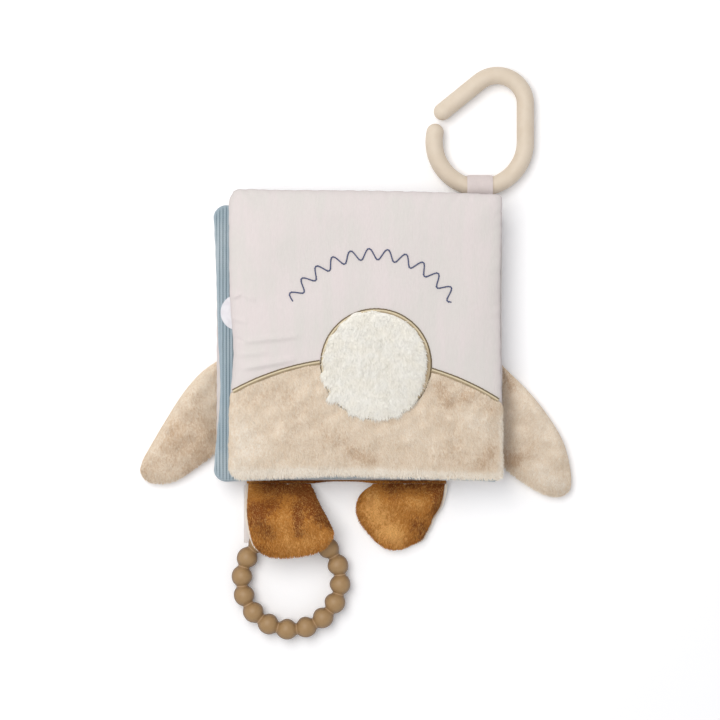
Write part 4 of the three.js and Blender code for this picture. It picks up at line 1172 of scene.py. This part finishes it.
# Inside the pads: a crackling film lies on the lower face of each leaf under loose wadding,
# and the wings and feet are stuffed. All of it is sewn in and never seen.
FILM = 0.4 * MM
INSIDE = CLOTH + GAP
LAYER_SHARES = (0.86, *INNER_SHARES[1:], 0.03)
LAYER_POINTS = 160
LAYER_LEAST = 0.02 * MM

film = Finish("crinkle film", 0.3, 0.5)
film.paint(film.clouds(5 * MM, 0.4, display(216, 221, 224), display(228, 232, 235)))
film.relief(film.noise(3 * MM, detail=4.0), 0.2 * MM)
wadding = Finish("polyester wadding", 1.0, 0.1)
wadding.paint(wadding.clouds(2 * MM, 0.3, display(244, 242, 238), display(250, 249, 246)))
wadding.relief(wadding.noise(1.2 * MM, detail=4.0), 0.3 * MM)


def layer(name, pad, finish, node, low, high=(1, INSIDE)):
    """A closed layer inside a pad, between two levels given as a face and a depth under it."""
    edge = resample(np.concatenate([pad.ring, pad.ring[:1]]), LAYER_POINTS)[:-1] - pad.centre
    rings = []
    for upper, (side, depth), shares in ((-1, low, LAYER_SHARES[::-1]), (1, high, LAYER_SHARES)):
        for share in shares:
            x, y = (pad.centre + share * edge).T
            middle = pad.seam + pad.lift(x, y) + upper * LAYER_LEAST
            z = pad.height(side, x, y, depth)
            z = np.maximum(z, middle) if side > 0 else np.minimum(z, middle) if upper < 0 else z
            rings.append(np.column_stack([x, y, z]))
    fit(skin(name, rings, finish), node)


LEAVES = {"front_cover": front_pad, "pale_leaf": pale_pad, "rib_leaf": rib_pad, "back_cover": cotton_cover}
for name, pad in LEAVES.items():
    layer(f"{name}_film", pad, film, f"{name}_crinkle_film", (-1, INSIDE), (-1, INSIDE - FILM))
    layer(f"{name}_filling", pad, wadding, f"{name}_wadding", (-1, INSIDE - FILM - GAP))
for name, pad in limb_pads.items():
    layer(f"{name}_filling", pad, wadding, f"{name}_stuffing", (-1, INSIDE))


# Spine cloth: three strips of the same cotton, each sewn along the spine to one leaf and to the
# next, and a little wavy between them.
SPINE_RINGS, SPINE_SPOKES = 80, 24
SPINE_WAVE, SPINE_IN = 0.12 * MM, 0.15 * MM

bar_x, bar_z = bar_round(SPINE_SPOKES, 0.5)
for node in ("spine_strip_lower", "spine_strip_middle", "spine_strip_upper"):
    low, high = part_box(node)
    z = (low.z + high.z) / 2 + (high.z - low.z) / 2 * bar_z
    rings = []
    for y in np.linspace(low.y, high.y, SPINE_RINGS):
        wave = SPINE_WAVE * ripples(np.full(SPINE_SPOKES, y), around(SPINE_SPOKES) * MM, 12 * MM, 91)
        x = (low.x + high.x) / 2 + (high.x - low.x) / 2 * bar_x + wave - SPINE_IN
        rings.append(np.column_stack([x, np.full(SPINE_SPOKES, y), z]))
    fit(skin(f"{node}_cloth", rings, cotton), node)


# Cloth loops: the teether's strap and the pram ring's tab are bands folded round a ring and
# sewn in at the book's seam. The blank label is a woven tape beside the strap.
STRAP_WALL, STRAP_SHOWN, LOOP_CLEARANCE = 0.7 * MM, 0.97, 0.35 * MM
RIBBON_EDGE, RIBBON_POINTS = (8, 0.7), 25
STRAP_NECK, LEAST_NECK = 8 * MM, 0.4 * MM
RING_RADIUS, BEAD = 26.9 * MM, 5.7 * MM
CLIP_TUBE, CLIP_LOWER, TAB_TO_RING = 4.75 * MM, 25 * MM, 6.1 * MM
LABEL_WALL, LABEL_DROP, LABEL_FLAT_LENGTH = 0.35 * MM, 8 * MM, 31.9 * MM


def ribbon(name, path, width, wall, x, finish):
    """A flat band along a path in y and z, with rounded edges."""
    normal = inward_of(np.asarray(path, float))
    spots = np.linspace(-1, 1, RIBBON_POINTS)
    across = np.concatenate([spots, spots[::-1]])
    thick = wall / 2 * np.maximum(0.12, (1 - abs(across) ** RIBBON_EDGE[0]) ** RIBBON_EDGE[1])
    thick *= np.repeat([1, -1], RIBBON_POINTS)
    return skin(name, [np.column_stack([x + across * width / 2, y + ny * thick, z + nz * thick])
                       for (y, z), (ny, nz) in zip(path, normal)], finish)


def loop_path(seam_y, facing, seam_z, neck, tube_out, tube_z, tube, bend, width, arc_share):
    """The middle of a band that leaves its seam, goes round a tube and comes back over itself."""
    sag = bend - math.sqrt(bend ** 2 - (width / 2) ** 2)
    half_high = tube + LOOP_CLEARANCE + STRAP_WALL / 2
    turns = np.linspace(-arc_share * math.pi, arc_share * math.pi, 60)
    arc = np.column_stack([tube_out + sag / 2 + (half_high + sag / 2) * np.cos(turns),
                           tube_z + half_high * np.sin(turns)])
    under, over = [np.array([[0, z], [max(neck, LEAST_NECK), z]])
                   for z in (seam_z - STRAP_WALL / 2, seam_z + STRAP_WALL / 2)]
    line = resample(np.concatenate([under, arc, over[::-1]]), 70)
    line = resample(smooth_line(line, 3), 150)
    return np.column_stack([seam_y + facing * line[:, 0], line[:, 1]])


tape = cotton_finish("strap cotton", display(232, 220, 217), display(225, 213, 210), COTTON_SEAM_SHADE_PAINT)
ring_place, strap_place = joint_place("teether_ring_spin"), joint_place("teether_strap_swing")
strap_width = 2 * plan_of(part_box("teether_strap"))[1][0]
strap_line = loop_path(strap_place[1], -1, strap_place[2] + STRAP_WALL, STRAP_NECK,
                       strap_place[1] - ring_place[1] - RING_RADIUS, ring_place[2], BEAD, RING_RADIUS,
                       strap_width, 0.7)
clip_place, tab_place = joint_place("clip_ring_slide"), joint_place("clip_tab_swing")
tab_width = 2 * plan_of(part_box("clip_tab"))[1][0]
tab_line = loop_path(tab_place[1], 1, tab_place[2], 0.0, TAB_TO_RING, clip_place[2], CLIP_TUBE,
                     CLIP_LOWER, tab_width, 0.83)
for node, line, width, x in (("teether_strap", strap_line, strap_width, ring_place[0]),
                             ("clip_tab", tab_line, tab_width, clip_place[0])):
    fit(ribbon(f"{node}_tape", line, width, STRAP_SHOWN * STRAP_WALL, x, tape), node)

low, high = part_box("blank_care_label")
label_out = (high.y - low.y) * np.linspace(0, 1, 60)
fall = np.clip(label_out / LABEL_DROP, 0, 1)
label_line = np.column_stack([high.y - label_out, high.z - LABEL_WALL / 2
                              - (high.z - low.z - LABEL_WALL) * fall * fall * (3 - 2 * fall)])
label_finish = Finish("woven label tape", 0.6, 0.4)
label_weave = label_finish.stripes(0.45 * MM, "X") * 0.5 + label_finish.stripes(0.45 * MM, "Y") * 0.5
label_finish.paint(label_finish.mix(label_weave * 0.4, display(236, 230, 227), display(224, 217, 213)))
label_finish.relief(label_weave, 0.05 * MM)
care_label = ribbon("blank_care_label_tape", label_line, high.x - low.x, LABEL_WALL,
                    (low.x + high.x) / 2, label_finish)
fit(care_label, "blank_care_label")


# Teether: sixteen beads of matt silicone moulded as one ring. A painted highlight lies along the
# upper side of the fine collars between them, and painted shade darkens the beads' lower sides.
BEADS, BEAD_STEPS, BEAD_SPOKES = 16, 26, 36
COLLAR, COLLAR_GROOVE = 3.3 * MM, 0.07
RING_TURN = math.radians(-4.7)

silicone = Finish("taupe silicone", 0.48, 0.5)
bloom = silicone.clouds(3 * MM, 0.35, display(162, 129, 87), display(166, 133, 91))
# Painted shade: each bead darkens from its top down its sides.
turned = silicone.mix(silicone.attribute("brow").between(0.85, 0.1), bloom, display(122, 92, 58))
# Painted highlight along the collars.
silicone.paint(silicone.mix(silicone.attribute("collar"), turned, display(184, 151, 114)))
silicone.relief(silicone.noise(0.4 * MM), 0.01 * MM)


def tube_ring(x, y, z, angle, radius, spokes):
    """A circle of points round a level path that runs at an angle."""
    off, up = radius * np.cos(around(spokes)), radius * np.sin(around(spokes))
    return np.column_stack([x - off * math.sin(angle), y + off * math.cos(angle), z + up])


rings, collar_highlights = [], []
for bead in range(BEADS):
    for share in np.linspace(-0.5, 0.5, BEAD_STEPS, endpoint=False):
        angle = math.pi / 2 + RING_TURN + (bead + share) * 2 * math.pi / BEADS
        along = share * 2 * math.pi * RING_RADIUS / BEADS
        from_seam = abs(share) - 0.5
        collar = COLLAR * (1 - COLLAR_GROOVE * math.exp(-(from_seam / 0.012) ** 2))
        radius = max(math.sqrt(max(BEAD ** 2 - along ** 2, 0)), collar)
        rings.append(tube_ring(ring_place[0] + RING_RADIUS * math.cos(angle),
                               ring_place[1] + RING_RADIUS * math.sin(angle), ring_place[2],
                               angle + math.pi / 2, radius, BEAD_SPOKES))
        collar_highlights.append(math.exp(-(from_seam / 0.022) ** 2))
beads = skin("teether_beads", rings, silicone, looped=True, crease=38)
brow = np.array([v.co.z - ring_place[2] for v in beads.data.vertices]) / BEAD
mark(beads.data, "brow", brow)
# The collar mark, kept to the beads' upper half, places the painted highlight.
mark(beads.data, "collar", np.repeat(collar_highlights, BEAD_SPOKES) * (brow > 0.1))
fit(beads, "teether_ring")


# Pram ring: an open ring of matt plastic with one straight leg and a gap at the left, which
# hooks over a pram's bar.
CLIP_LEG, CLIP_UPPER, CLIP_TAIL = 20.8 * MM, 15.5 * MM, 26 * MM
CLIP_START, CLIP_SWEEP, CLIP_SPOKES = 168, 129, 48

plastic = Finish("sand plastic", 0.55, 0.4)
plastic.paint(plastic.clouds(6 * MM, 0.35, display(222, 206, 185), display(225, 210, 190)))
plastic.relief(plastic.noise(0.35 * MM), 0.008 * MM)

clip_x, clip_y, clip_z = clip_place
upper_x, upper_y = clip_x + CLIP_LOWER - CLIP_UPPER, clip_y + CLIP_LEG
stops = [(clip_x + CLIP_LOWER * math.cos(turn), clip_y + CLIP_LOWER * math.sin(turn), turn + math.pi / 2)
         for turn in np.radians(np.linspace(CLIP_START, 360, 70))]
stops += [(upper_x + CLIP_UPPER * math.cos(turn), upper_y + CLIP_UPPER * math.sin(turn), turn + math.pi / 2)
          for turn in np.radians(np.linspace(0, CLIP_SWEEP, 50))]
x, y, angle = stops[-1]
stops += [(x + along * math.cos(angle), y + along * math.sin(angle), angle)
          for along in np.linspace(0, CLIP_TAIL, 12)[1:]]
caps = []
for (x, y, angle), way in ((stops[0], -1), (stops[-1], 1)):
    leans = np.radians(np.linspace(0, 90, 14)[1:-1])
    caps.append([tube_ring(x + way * CLIP_TUBE * math.sin(lean) * math.cos(angle),
                           y + way * CLIP_TUBE * math.sin(lean) * math.sin(angle), clip_z, angle,
                           CLIP_TUBE * math.cos(lean), CLIP_SPOKES) for lean in leans])
tube = [tube_ring(x, y, clip_z, angle, CLIP_TUBE, CLIP_SPOKES) for x, y, angle in stops]
fit(skin("clip_ring_moulding", [*caps[0][::-1], *tube, *caps[1]], plastic), "clip_ring")
